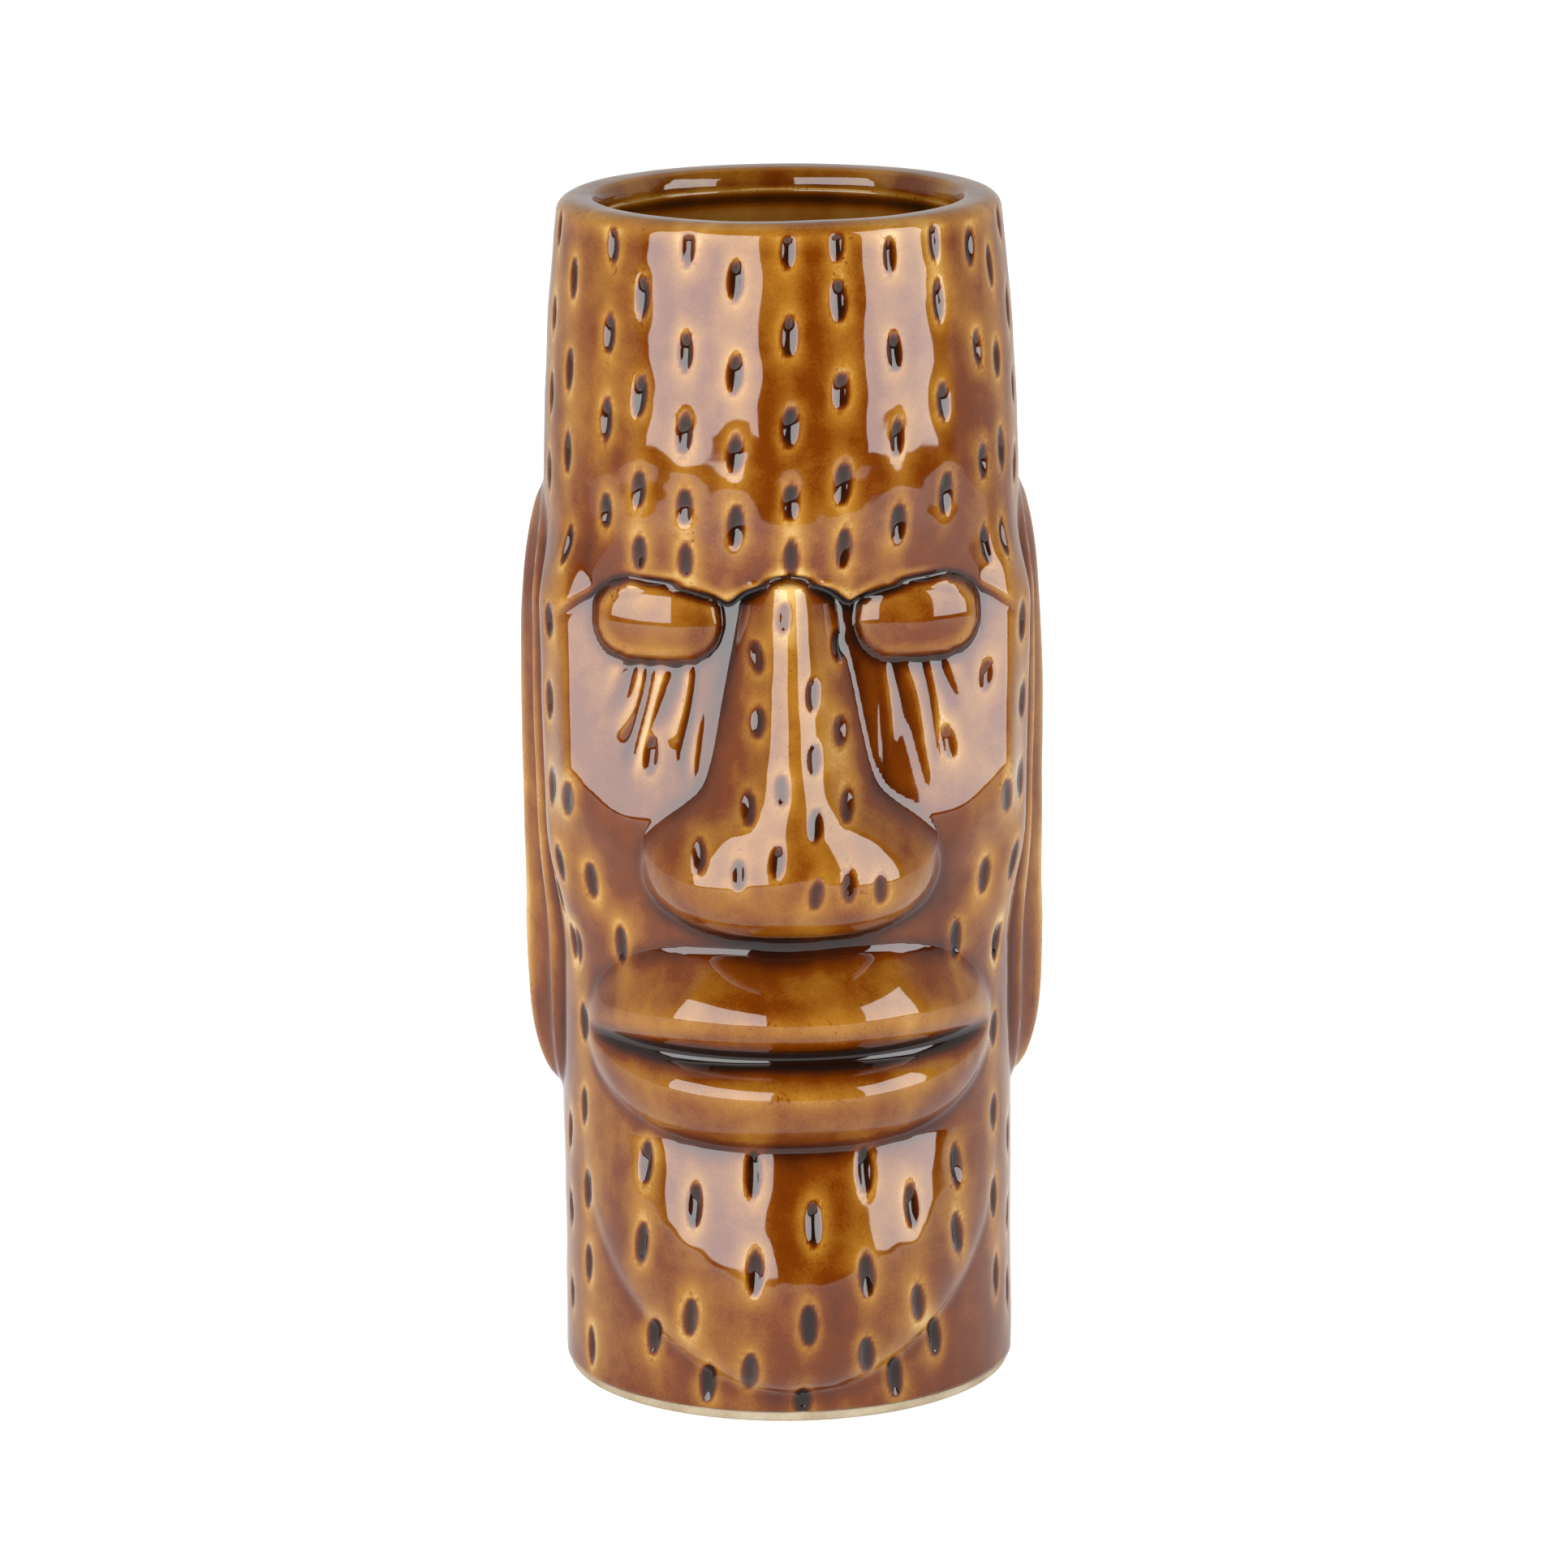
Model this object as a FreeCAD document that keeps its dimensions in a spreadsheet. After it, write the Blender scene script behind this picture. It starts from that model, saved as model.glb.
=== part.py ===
"""Tiki mug: a slip-cast clay body with a carved face, and the three coats of glaze fired onto it.

Frame: millimetres, +Z up, the origin at the centre of the foot ring on the table, and the face looking along -Y.
The driving dimensions are in the spreadsheet. The relief of the face is a formula of those dimensions, and the
clay blank and the glaze blank are two smooth surfaces through it, one glaze thickness apart.
"""

import FreeCAD
import Part
import Sketcher

import math
import os

PARTS = "parts"
SHEET = "Dimensions"

# alias, value in mm (or a plain number), what it is
DIMENSIONS = [
    ("height", 180.0, "foot to the crest of the rim"),
    ("foot_radius", 33.7, "wall just above the foot"),
    ("foot_round", 1.3, "rounding of the bottom edge"),
    ("brow_radius", 35.1, "wall at its widest, above the brow"),
    ("brow_level", 140.0, "height of the widest part of the wall"),
    ("rim_radius", 32.4, "outside of the rim"),
    ("rim_round", 2.4, "rounding of the rim's outer edge"),
    ("mouth_drop", 3.4, "drop from the crest of the rim to the mouth's edge"),
    ("mouth_radius", 27.0, "bare clay mouth"),
    ("cavity_radius", 28.4, "bare clay cavity below the lip"),
    ("lip_depth", 8.0, "straight lip inside the mouth"),
    ("neck_depth", 22.0, "depth at which the cavity is at its full radius"),
    ("floor_thickness", 6.0, "clay under the cavity"),
    ("floor_fillet", 8.0, "fillet between the cavity's wall and floor"),
    ("recess_radius", 28.5, "recess inside the foot ring"),
    ("recess_depth", 2.0, "depth of that recess"),
    ("glaze", 0.4, "thickness of the glaze"),
    ("glaze_line", 1.6, "height of the bare band of clay above the table"),
    ("cheek_bend", 57.0, "radius of the flatter front of the face"),
    ("cheek_front", 28.2, "how far forward the cheeks' plane stands under the brow"),
    ("cheek_tilt", 0.16, "how much further forward it stands for each mm down"),
    ("cheek_half", 32.5, "half the width of that plane"),
    ("cheek_swell", 3.4, "how far the corners of the face are pushed out"),
    ("brow_over_eye", 127.2, "top of the brow's arch over each eye"),
    ("brow_over_nose", 128.5, "top of the brow's arch over the nose"),
    ("brow_tuck", 2.0, "how far the brow rounds back at its lower edge"),
    ("brow_round", 9.0, "height over which it rounds back"),
    ("brow_step", 2.2, "how far the brow stands in front of the cheeks' plane"),
    ("eye_offset", 18.9, "eye centre from the middle of the face"),
    ("eye_level", 121.3, "height of the eyes"),
    ("eye_half_width", 9.0, "half the width of an eye"),
    ("eye_half_height", 5.9, "half the height of an eye"),
    ("eye_bulge", 4.4, "how far an eye stands out"),
    ("eye_roundness", 36.0, "flatness of the eye's middle"),
    ("eye_turn", 4.0, "how far outwards the eye's fullest point lies"),
    ("nose_top", 128.0, "height of the bridge"),
    ("nose_tip", 86.0, "height of the widest part of the nose"),
    ("nose_drop", 11.0, "from the tip down to the base of the nose"),
    ("bridge_half", 7.2, "half the width of the bridge"),
    ("nostril_half", 22.0, "half the width of the nostrils"),
    ("nostril_flare", 6.6, "the part of it that the nostrils add at the tip"),
    ("bridge_reach", 5.2, "how far the bridge stands out"),
    ("nose_reach", 11.4, "how far the tip stands out"),
    ("ridge", 0.4, "roundness of the ridge, as a share of its half width"),
    ("mouth_level", 57.0, "height of the line between the lips"),
    ("mouth_half", 30.2, "half the width of the lips"),
    ("upper_lip", 16.0, "height of the upper lip"),
    ("lower_lip", 14.0, "height of the lower lip"),
    ("upper_crest", 62.9, "height where the upper lip stands out furthest"),
    ("lower_crest", 51.6, "height where the lower lip stands out furthest"),
    ("upper_reach", 7.2, "how far the upper lip stands out"),
    ("lower_reach", 6.4, "how far the lower lip stands out"),
    ("slit_reach", 2.2, "how far the line between them stands out"),
    ("lip_round", 5.0, "roundness of the upper lip's crest"),
    ("chin_half", 31.0, "half the width of the chin"),
    ("chin_top", 43.0, "height at which the chin starts"),
    ("chin_base", 5.0, "height at which the chin ends"),
    ("chin_reach", 6.3, "how far the chin stands out"),
    ("ear_top", 135.5, "top of the ears"),
    ("ear_base", 45.0, "bottom of the lobes"),
    ("ear_reach", 5.7, "how far an ear stands out"),
    ("ear_half", 9.5, "half the width of an ear at its top"),
    ("lobe_half", 6.0, "half the width of its lobe"),
    ("front_rim", 0.22, "reach of the ear's front edge, as a share of its back edge"),
    ("ear_hollow", 1.0, "depth of the hollow in an ear"),
]

COLUMNS = 96  # poles round the body
FINE_STEP = 1.6  # between rows of poles over the face, mm
COARSE_STEP = 4.0  # between rows of poles over the forehead, mm
BROW_EDGE = 2.2  # height over which the brow's lower edge steps back to the cheeks, mm
PLANE_LIMIT = 36.0  # the cheeks' plane bends no further beyond this distance from the middle, mm
ARC_POLES = 4  # rows of poles in each rounded edge
RIM_ROWS = 16  # rows of poles at the rim, where the coat follows the clay exactly
OVERSHOOT = 10.0  # how far a cutting tool passes the face it cuts, mm
BLANK_MOUTH_INSET = 1.2  # the blanks end this far inside the mouth, where the cavity removes them, mm


def smooth(value):
    """0 below 0, 1 above 1, and a smooth step between."""
    value = min(1.0, max(0.0, value))
    return value * value * (3 - 2 * value)


def dome(distance, power=2.0, edge=0.5):
    """1 at distance 0, falling to 0 at distance 1."""
    return max(0.0, 1 - abs(distance) ** power) ** edge


class Relief:
    """The outer surface of the mug as a function of the angle round it and the height."""

    def __init__(self, sheet):
        for alias, _, _ in DIMENSIONS:
            setattr(self, alias, float(sheet.get(alias)))

    def wall_radius(self, z):
        """The plain round wall that the face is carved on."""
        if z > self.brow_level:
            share = (z - self.brow_level) / (self.height - self.brow_level)
            return self.brow_radius + (self.rim_radius - self.brow_radius) * share**1.6
        share = smooth((z - self.foot_radius) / (self.brow_level - self.foot_radius))
        return self.foot_radius + (self.brow_radius - self.foot_radius) * share

    def brow_edge(self, x):
        """Height of the brow's lower edge."""
        over_nose = self.brow_over_nose - 0.055 * x * x
        over_eye = self.brow_over_eye - 0.028 * (abs(x) - self.eye_offset) ** 2
        return max(over_nose, over_eye)

    def face(self, x, z, wall):
        """The brow, and the flatter plane of the cheeks under it, which leans back towards the brow."""
        above = z - self.brow_edge(x)
        plane = math.sqrt(self.cheek_bend**2 - min(x * x, PLANE_LIMIT**2)) - self.cheek_bend
        plane += self.cheek_front + self.cheek_tilt * min(38.0, max(0.0, self.brow_over_nose + 1.5 - z))
        reach = 1 - smooth((abs(x) - self.cheek_half) / 3)
        low = self.upper_crest + 11 + 0.727 * abs(x)
        cheek = (plane - wall) * smooth((z - low + 13) / 13.5)
        step = self.brow_step - smooth((abs(x) - 20) / 8)
        fill = (plane + step - wall) * (1 - smooth(above / 20))
        under = min(1.0, max(0.0, (self.brow_round - above) / self.brow_round))
        tuck = self.brow_tuck * (1 - math.sqrt(1 - 0.96 * under**2))
        brow = 0.5 * (fill - tuck + math.hypot(fill + tuck, 0.2) - 0.2)
        under_brow = 1 - smooth((above + 0.5 * BROW_EDGE) / BROW_EDGE)
        return reach * (cheek * under_brow + brow * (1 - under_brow))

    def nose(self, x, z):
        """Height of the nose above the face, or 0 beside it."""
        if z >= self.nose_top:
            return 0.0
        share = min(1.0, (self.nose_top - z) / (self.nose_top - self.nose_tip))
        half = self.bridge_half + (self.nostril_half - self.bridge_half - self.nostril_flare) * share
        half += self.nostril_flare * smooth((self.nose_tip + 12 - z) / 10)
        reach = self.bridge_reach + (self.nose_reach - self.bridge_reach) * share
        ridge = math.hypot(x / half, self.ridge) - self.ridge
        sharp = max(0.0, 1 - ridge / (math.hypot(1.0, self.ridge) - self.ridge))
        tip = smooth((self.nose_tip + 17 - z) / 20)
        upper = sharp * (1 - tip) + dome(x / half) * tip
        across = abs(x / self.nostril_half) ** 2.6
        across += (max(0.0, self.nose_tip - z) / self.nose_drop) ** 2.6
        lower = math.sqrt(max(0.0, 1 - across))
        blend = smooth((self.nose_tip + 4 - z) / 8)
        return max(0.0, (reach + 1) * (upper * (1 - blend) + lower * blend) - 1)

    def eye(self, x, z):
        """Height of an eye above the face, or 0 beside it."""
        across = abs((abs(x) - self.eye_offset) / self.eye_half_width) ** 2.7
        across += abs((z - self.eye_level) / self.eye_half_height) ** 2.7
        if across >= 1:
            return 0.0
        away = (abs(x) - self.eye_offset - self.eye_turn) ** 2 / 1.6 + (z - self.eye_level - 1.8) ** 2
        return max(0.0, (self.eye_bulge - away / self.eye_roundness) * (1 - across) ** 0.3 - 0.4)

    def lips(self, x, z):
        """Both lips, and the line between them."""
        side = abs(x / self.mouth_half) ** 3.6
        if side >= 1:
            return 0.0
        taper = 1 - side
        line = self.mouth_level + 0.5 * side
        rise = self.upper_crest - self.mouth_level
        fall = self.mouth_level - self.lower_crest
        high, low = line + rise * taper**0.4, line - fall * taper**0.4
        top, bottom = line + self.upper_lip * taper**0.45, line - self.lower_lip * taper**0.45
        if z > high:
            above = min(1.0, (z - high) / (top - high))
            whole = self.upper_reach + self.lip_round
            upper = whole - math.hypot(self.lip_round, math.sqrt(whole**2 - self.lip_round**2) * above)
        else:
            upper = self.upper_reach * dome((z - high) / (high - line), 1.75, 0.7)
        span = (low - bottom) if z < low else (line - low)
        lower = self.lower_reach * dome((z - low) / span, 1.75, 0.7)
        floor = self.slit_reach * dome((z - line) / 6, 2.0, 1.0)
        return max(upper * taper**0.55, lower * taper**0.55, floor * taper**0.5)

    def chin(self, x, z):
        """The chin, which stands out further towards its base."""
        middle = self.chin_top - 5
        across = math.hypot(x / self.chin_half, max(0.0, middle - z) / (middle - self.chin_base))
        ramp = math.sin(0.5 * math.pi * min(1.0, max(0.0, (self.chin_top + 0.5 - z) / 31)))
        return self.chin_reach * ramp * dome(across, 4, 0.55)

    def forward(self, x, z, wall):
        """How far the surface is pushed towards the front."""
        raised = max(self.nose(x, z), self.eye(x, z))
        return self.face(x, z, wall) + raised + self.lips(x, z) + self.chin(x, z)

    def corner(self, y, z):
        """How far the corners of the squared-off face are pushed out to the sides."""
        band = smooth((z - 66) / 22) * (1 - smooth((z - 120) / 14))
        return self.cheek_swell * math.exp(-(((y + 15) / 9.5) ** 2)) * band

    def ear(self, y, z):
        """How far an ear stands out: its back edge further than its front edge, with a hollow between."""
        share = smooth((z - self.ear_base) / (self.ear_top - self.ear_base))
        half = self.lobe_half + (self.ear_half - self.lobe_half) * share
        fade = min(1.0, max(0.0, (z - 95) / (self.ear_top + 1 - 95))) ** 2.5
        fade = max(fade, min(1.0, max(0.0, (80 - z) / (80 - self.ear_base + 1))) ** 5)
        across = (y - 0.5 - 1.5 * share) / (half * max(1 - fade, 0.02) ** 0.3)
        lean = self.front_rim + (1 - self.front_rim) * smooth(across + 0.5)
        body = self.ear_reach * lean * dome(across, 3.0, 0.75)
        hollow = self.ear_hollow * dome(across / 0.5, 2.0, 1.0) * smooth((z - 66) / 12)
        return (1 - fade) ** 0.6 * (body - hollow)

    def point(self, angle, radius, z):
        """The surface at an angle from the front, for a wall of that radius."""
        x, y = radius * math.sin(angle), -radius * math.cos(angle)
        front, side = y < 0, abs(math.sin(angle)) > 0.5
        out = abs(x) + (self.corner(y, z) if front else 0.0)
        push = self.forward(out, z, -y) if front else 0.0
        ear = self.ear(y, z) if side else 0.0
        return FreeCAD.Vector(math.copysign(out + ear, x), y - push, z)

    def profile(self):
        """Radius and height of each row of poles, from the table up over the rim and into the mouth."""
        rows = [(self.foot_radius - 2 * self.foot_round, 0.0)]
        for k in range(ARC_POLES + 1):
            turn = math.radians(90 * k / ARC_POLES)
            inset = self.foot_round * (1 - math.sin(turn))
            rows.append((self.foot_radius - inset, self.foot_round * (1 - math.cos(turn))))
        z = self.foot_round
        top = self.height - self.rim_round
        while True:
            z += FINE_STEP if z < self.brow_over_nose + 4 else COARSE_STEP
            if z > top - 1:
                break
            rows.append((self.wall_radius(z), z))
        for k in range(ARC_POLES + 1):
            turn = math.radians(90 * k / ARC_POLES)
            inset = self.rim_round * (1 - math.cos(turn))
            rows.append((self.wall_radius(top) - inset, top + self.rim_round * math.sin(turn)))
        edge = self.height - self.mouth_drop
        rows.append((self.mouth_radius + 1.2, self.height))
        rows.append((self.mouth_radius + 0.5, self.height - 0.9))
        rows.append((self.mouth_radius + 0.4, edge))
        rows.append((self.mouth_radius - BLANK_MOUTH_INSET, edge - 0.2))
        return rows


def make_sheet(doc):
    """The spreadsheet that drives the model."""
    sheet = doc.addObject("Spreadsheet::Sheet", SHEET)
    for row, (alias, value, meaning) in enumerate(DIMENSIONS, start=1):
        sheet.set(f"A{row}", alias)
        sheet.set(f"B{row}", str(value))
        sheet.set(f"C{row}", meaning)
        sheet.setAlias(f"B{row}", alias)
    doc.recompute()
    return sheet


def grown(poles, offset):
    """The net of poles moved out along its own normals, which are evened out where the face is carved."""
    columns, rows = len(poles), len(poles[0])
    normals = []
    for i in range(columns):
        column = []
        for k in range(rows):
            round_body = poles[(i + 1) % columns][k] - poles[i - 1][k]
            upward = poles[i][min(k + 1, rows - 1)] - poles[i][max(k - 1, 0)]
            column.append(round_body.cross(upward).normalize())
        normals.append(column)
    result = []
    for i in range(columns):
        column = []
        for k in range(rows):
            reach = 1 if k > rows - RIM_ROWS else 2
            total = FreeCAD.Vector()
            for side in range(1 - reach, reach):
                for level in range(1 - reach, reach):
                    total += normals[(i + side) % columns][min(max(k + level, 0), rows - 1)]
            column.append(poles[i][k] + total.normalize() * offset)
        result.append(column)
    return result


def make_blank(doc, name, relief, offset):
    """The solid inside the carved surface, as far as the mouth, grown by the offset."""
    rows = relief.profile()
    step = 2 * math.pi / COLUMNS
    shrink = 3 / (2 + math.cos(step))  # a cubic spline runs inside its poles by this much
    poles = [
        [relief.point(column * step, radius * shrink, z) for radius, z in rows]
        for column in range(COLUMNS)
    ]
    if offset:
        poles = grown(poles, offset)
    spans = len(rows) - 3
    surface = Part.BSplineSurface()
    surface.buildFromPolesMultsKnots(
        poles,
        [1] * (COLUMNS + 1),
        [4] + [1] * (spans - 1) + [4],
        list(range(COLUMNS + 1)),
        list(range(spans + 1)),
        True,
        False,
        3,
        3,
    )
    side = surface.toShape()
    rings = sorted((e for e in side.Edges if e.BoundBox.ZLength < 1e-6), key=lambda e: e.BoundBox.ZMin)
    caps = [Part.Face(Part.Wire(ring)) for ring in rings]
    solid = Part.Solid(Part.makeShell([side] + caps))
    solid.fix(1e-6, 1e-6, 1e-6)
    if solid.Volume < 0:
        solid.reverse()
    blank = doc.addObject("Part::Feature", name)
    blank.Shape = solid
    return blank


def origin_plane(body, role):
    """One of a body's own origin planes."""
    return next(f for f in body.Origin.OriginFeatures if f.Role == role)


def turned_sketch(body, name, corners):
    """A closed outline beside the Z axis. Each corner is a pair of expressions: radius and height."""
    sketch = body.newObject("Sketcher::SketchObject", name)
    sketch.AttachmentSupport = [(origin_plane(body, "XZ_Plane"), "")]
    sketch.MapMode = "FlatFace"
    count = len(corners)
    ring = [FreeCAD.Vector(5 + 3 * k, 5 + 7 * k, 0) for k in range(count)]
    for k in range(count):
        sketch.addGeometry(Part.LineSegment(ring[k], ring[(k + 1) % count]), False)
    for k in range(count):
        sketch.addConstraint(Sketcher.Constraint("Coincident", k, 2, (k + 1) % count, 1))
    for k, (radius, level) in enumerate(corners):
        if radius is None:
            sketch.addConstraint(Sketcher.Constraint("PointOnObject", k, 1, -2))
        else:
            index = sketch.addConstraint(Sketcher.Constraint("DistanceX", -1, 1, k, 1, ring[k].x))
            sketch.setExpression(f"Constraints[{index}]", radius)
        index = sketch.addConstraint(Sketcher.Constraint("DistanceY", -1, 1, k, 1, ring[k].y))
        sketch.setExpression(f"Constraints[{index}]", level)
    return sketch


def make_cavity(doc, name, inset):
    """The space inside the mug, drawn in by the inset, as a turned body with a filleted floor and neck."""
    cell = f"{SHEET}."
    body = doc.addObject("PartDesign::Body", name)
    floor = f"{cell}floor_thickness + {inset}"
    full = f"{cell}cavity_radius - {inset}"
    mouth = f"{cell}mouth_radius - {inset}"
    corners = [
        (None, floor),
        (full, floor),
        (full, f"{cell}height - {cell}neck_depth"),
        (mouth, f"{cell}height - {cell}lip_depth"),
        (mouth, f"{cell}height + {OVERSHOOT}"),
        (None, f"{cell}height + {OVERSHOOT}"),
    ]
    sketch = turned_sketch(body, f"{name}_outline", corners)
    doc.recompute()
    turn = body.newObject("PartDesign::Revolution", f"{name}_turned")
    turn.Profile = sketch
    turn.ReferenceAxis = (sketch, ["V_Axis"])
    turn.Angle = 360
    doc.recompute()
    base_level = min(v.Point.z for v in turn.Shape.Vertexes)
    rim = max(
        (e for e in turn.Shape.Edges if e.BoundBox.ZLength < 1e-6 and abs(e.BoundBox.ZMin - base_level) < 1e-6),
        key=lambda e: e.Length,
    )
    edge_name = next(f"Edge{i}" for i, e in enumerate(turn.Shape.Edges, start=1) if e.isSame(rim))
    fillet = body.newObject("PartDesign::Fillet", f"{name}_floor_fillet")
    fillet.Base = (turn, [edge_name])
    fillet.setExpression("Radius", f"{cell}floor_fillet - {inset}")
    body.Tip = fillet
    doc.recompute()
    return body


def make_disc(doc, name, radius, height, level):
    """An upright cylinder whose radius, height and level are expressions."""
    disc = doc.addObject("Part::Cylinder", name)
    disc.setExpression("Radius", radius)
    disc.setExpression("Height", height)
    disc.setExpression("Placement.Base.z", level)
    return disc


def join(doc, kind, name, base, tool):
    """A boolean of two objects."""
    result = doc.addObject(kind, name)
    result.Base, result.Tool = base, tool
    return result


def make_clay_body(doc, clay_blank, cavity):
    """The one cast clay body: the blank, hollowed, with a recess that leaves the foot ring."""
    recess = make_disc(
        doc,
        "foot_recess",
        f"{SHEET}.recess_radius",
        f"{SHEET}.recess_depth + {OVERSHOOT}",
        f"-{OVERSHOOT}",
    )
    hollow = join(doc, "Part::Cut", "hollowed_blank", clay_blank, cavity)
    return join(doc, "Part::Cut", "clay_body", hollow, recess)


def make_outer_glaze(doc, glaze_blank, clay_blank, cavity):
    """The coat on the outside, from the bare band at the foot up over the rim to the mouth."""
    band = make_disc(
        doc,
        "bare_band",
        f"{SHEET}.foot_radius + {OVERSHOOT}",
        f"{SHEET}.glaze_line + {OVERSHOOT}",
        f"-{OVERSHOOT}",
    )
    trimmed = join(doc, "Part::Cut", "glaze_above_band", glaze_blank, band)
    coat = join(doc, "Part::Cut", "glaze_coat", trimmed, clay_blank)
    return join(doc, "Part::Cut", "outer_glaze", coat, cavity)


def make_liner_glaze(doc, cavity, liner_void):
    """The coat poured inside, which ends level with the coat on the rim."""
    below_mouth = make_disc(
        doc,
        "liner_height",
        f"{SHEET}.cavity_radius + {OVERSHOOT}",
        f"{SHEET}.height + {SHEET}.glaze - {SHEET}.mouth_drop",
        "0",
    )
    filled = join(doc, "Part::Common", "filled_cavity", cavity, below_mouth)
    return join(doc, "Part::Cut", "liner_glaze", filled, liner_void)


def make_base_glaze(doc):
    """The pool of glaze in the recess under the mug."""
    return make_disc(
        doc,
        "base_glaze",
        f"{SHEET}.recess_radius",
        f"{SHEET}.glaze",
        f"{SHEET}.recess_depth - {SHEET}.glaze",
    )


def check(doc, subparts):
    """Stops if an object failed, or a sub-part is not one valid solid."""
    for thing in doc.Objects:
        if "Invalid" in thing.State or "Error" in thing.State:
            raise RuntimeError(f"{thing.Name} failed: {thing.State}")
    for thing in subparts:
        shape = thing.Shape
        if shape.isNull() or not shape.isValid() or len(shape.Solids) != 1:
            raise RuntimeError(f"{thing.Name}: null, not valid, or {len(shape.Solids)} solids")


def main():
    """Builds the document and writes each sub-part."""
    doc = FreeCAD.newDocument("TikiMug")
    relief = Relief(make_sheet(doc))
    clay_blank = make_blank(doc, "clay_blank", relief, 0.0)
    glaze_blank = make_blank(doc, "glaze_blank", relief, relief.glaze)
    cavity = make_cavity(doc, "cavity", "0")
    liner_void = make_cavity(doc, "liner_void", f"{SHEET}.glaze")
    subparts = [
        make_clay_body(doc, clay_blank, cavity),
        make_outer_glaze(doc, glaze_blank, clay_blank, cavity),
        make_liner_glaze(doc, cavity, liner_void),
        make_base_glaze(doc),
    ]
    doc.recompute()
    check(doc, subparts)
    os.makedirs(PARTS, exist_ok=True)
    for thing in subparts:
        thing.Shape.exportStep(os.path.join(PARTS, f"{thing.Label}.step"))
        print(thing.Label, round(thing.Shape.Volume), "mm3")


main()
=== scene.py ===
"""A tall glazed mug cast as a carved, long-eared head, on a pale floor in soft studio light.

Each sub-assembly is a class that builds its own meshes and dresses them. The mug's classes hold
millimetres, which become metres in a mesh, and the studio's hold metres. The face looks along -Y, and
the table is the plane z = 0.
"""

from __future__ import annotations

import logging
import math
from dataclasses import dataclass, field
from enum import Enum

import bmesh
import bpy
import numpy as np
from mathutils import Matrix, Vector


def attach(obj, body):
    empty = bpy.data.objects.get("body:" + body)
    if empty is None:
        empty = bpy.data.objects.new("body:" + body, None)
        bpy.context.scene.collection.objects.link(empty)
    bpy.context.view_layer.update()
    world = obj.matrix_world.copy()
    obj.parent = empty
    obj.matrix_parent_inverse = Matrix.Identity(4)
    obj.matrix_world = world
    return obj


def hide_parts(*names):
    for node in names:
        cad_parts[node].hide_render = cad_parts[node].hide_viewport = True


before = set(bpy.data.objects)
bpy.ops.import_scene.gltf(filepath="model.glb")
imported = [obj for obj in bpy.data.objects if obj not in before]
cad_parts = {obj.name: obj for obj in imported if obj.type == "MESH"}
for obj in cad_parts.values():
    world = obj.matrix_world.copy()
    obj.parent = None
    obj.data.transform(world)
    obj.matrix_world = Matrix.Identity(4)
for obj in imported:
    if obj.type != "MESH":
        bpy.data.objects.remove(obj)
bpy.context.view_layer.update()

MM = 0.001
LOG = logging.getLogger("mug")

Colour = tuple[float, float, float]
Outline = list[tuple[float, float]]
Array = np.ndarray


class Slot(Enum):
    """The record's material slots."""

    BARE_CLAY = "bare_clay"
    AMBER = "amber_glaze"
    LINER = "inner_glaze"
    FOOT = "foot_glaze"


def smooth(value: Array) -> Array:
    """0 below 0, 1 above 1, and a smooth step between.

    Args:
        value: where along the step each point is.

    Returns:
        The height of the step at each point.
    """
    value = np.clip(value, 0.0, 1.0)
    return value * value * (3.0 - 2.0 * value)


def dome(distance: Array, power: float = 2.0, edge: float = 0.5) -> Array:
    """A dome that is 1 at its middle and 0 from distance 1 outwards.

    Args:
        distance: how far each point is from the middle, as a share of the dome's radius.
        power: how flat the middle is.
        edge: how steep the edge is. Smaller is steeper.

    Returns:
        The dome's height at each point.
    """
    return np.clip(1.0 - np.abs(distance) ** power, 0.0, 1.0) ** edge


def ripple(s: Array, z: Array, wavelength: float, seed: int) -> Array:
    """The slight unevenness of a hand-finished surface.

    Args:
        s: distance round the body.
        z: height.
        wavelength: the usual length of one wave.
        seed: picks the pattern.

    Returns:
        A smooth value of about -1 to 1 at each point.
    """
    rng = np.random.default_rng(seed)
    total = np.zeros_like(s)
    for _ in range(7):
        turn = rng.uniform(0.0, math.tau)
        stretch = wavelength * rng.uniform(0.7, 1.6)
        along = (s * math.cos(turn) + z * math.sin(turn)) * math.tau / stretch
        total += np.sin(along + rng.uniform(0.0, math.tau))
    return total / 3.2


def places(mesh: bpy.types.Mesh) -> Array:
    """Reads where a mesh's vertices are.

    Args:
        mesh: the mesh.

    Returns:
        A row of x, y and z for each, in millimetres.
    """
    flat = np.empty(len(mesh.vertices) * 3)
    mesh.vertices.foreach_get("co", flat)
    return flat.reshape(-1, 3) / MM


def store_pool(mesh: bpy.types.Mesh, thickness: Array) -> None:
    """Stores how thick the coat lies at each vertex, where its material reads it.

    Args:
        mesh: the mesh.
        thickness: a value for each vertex, which is kept between 0 and 1.
    """
    store = mesh.attributes.new("pool", "FLOAT", "POINT")
    store.data.foreach_set("value", np.clip(thickness, 0.0, 1.0))


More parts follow.
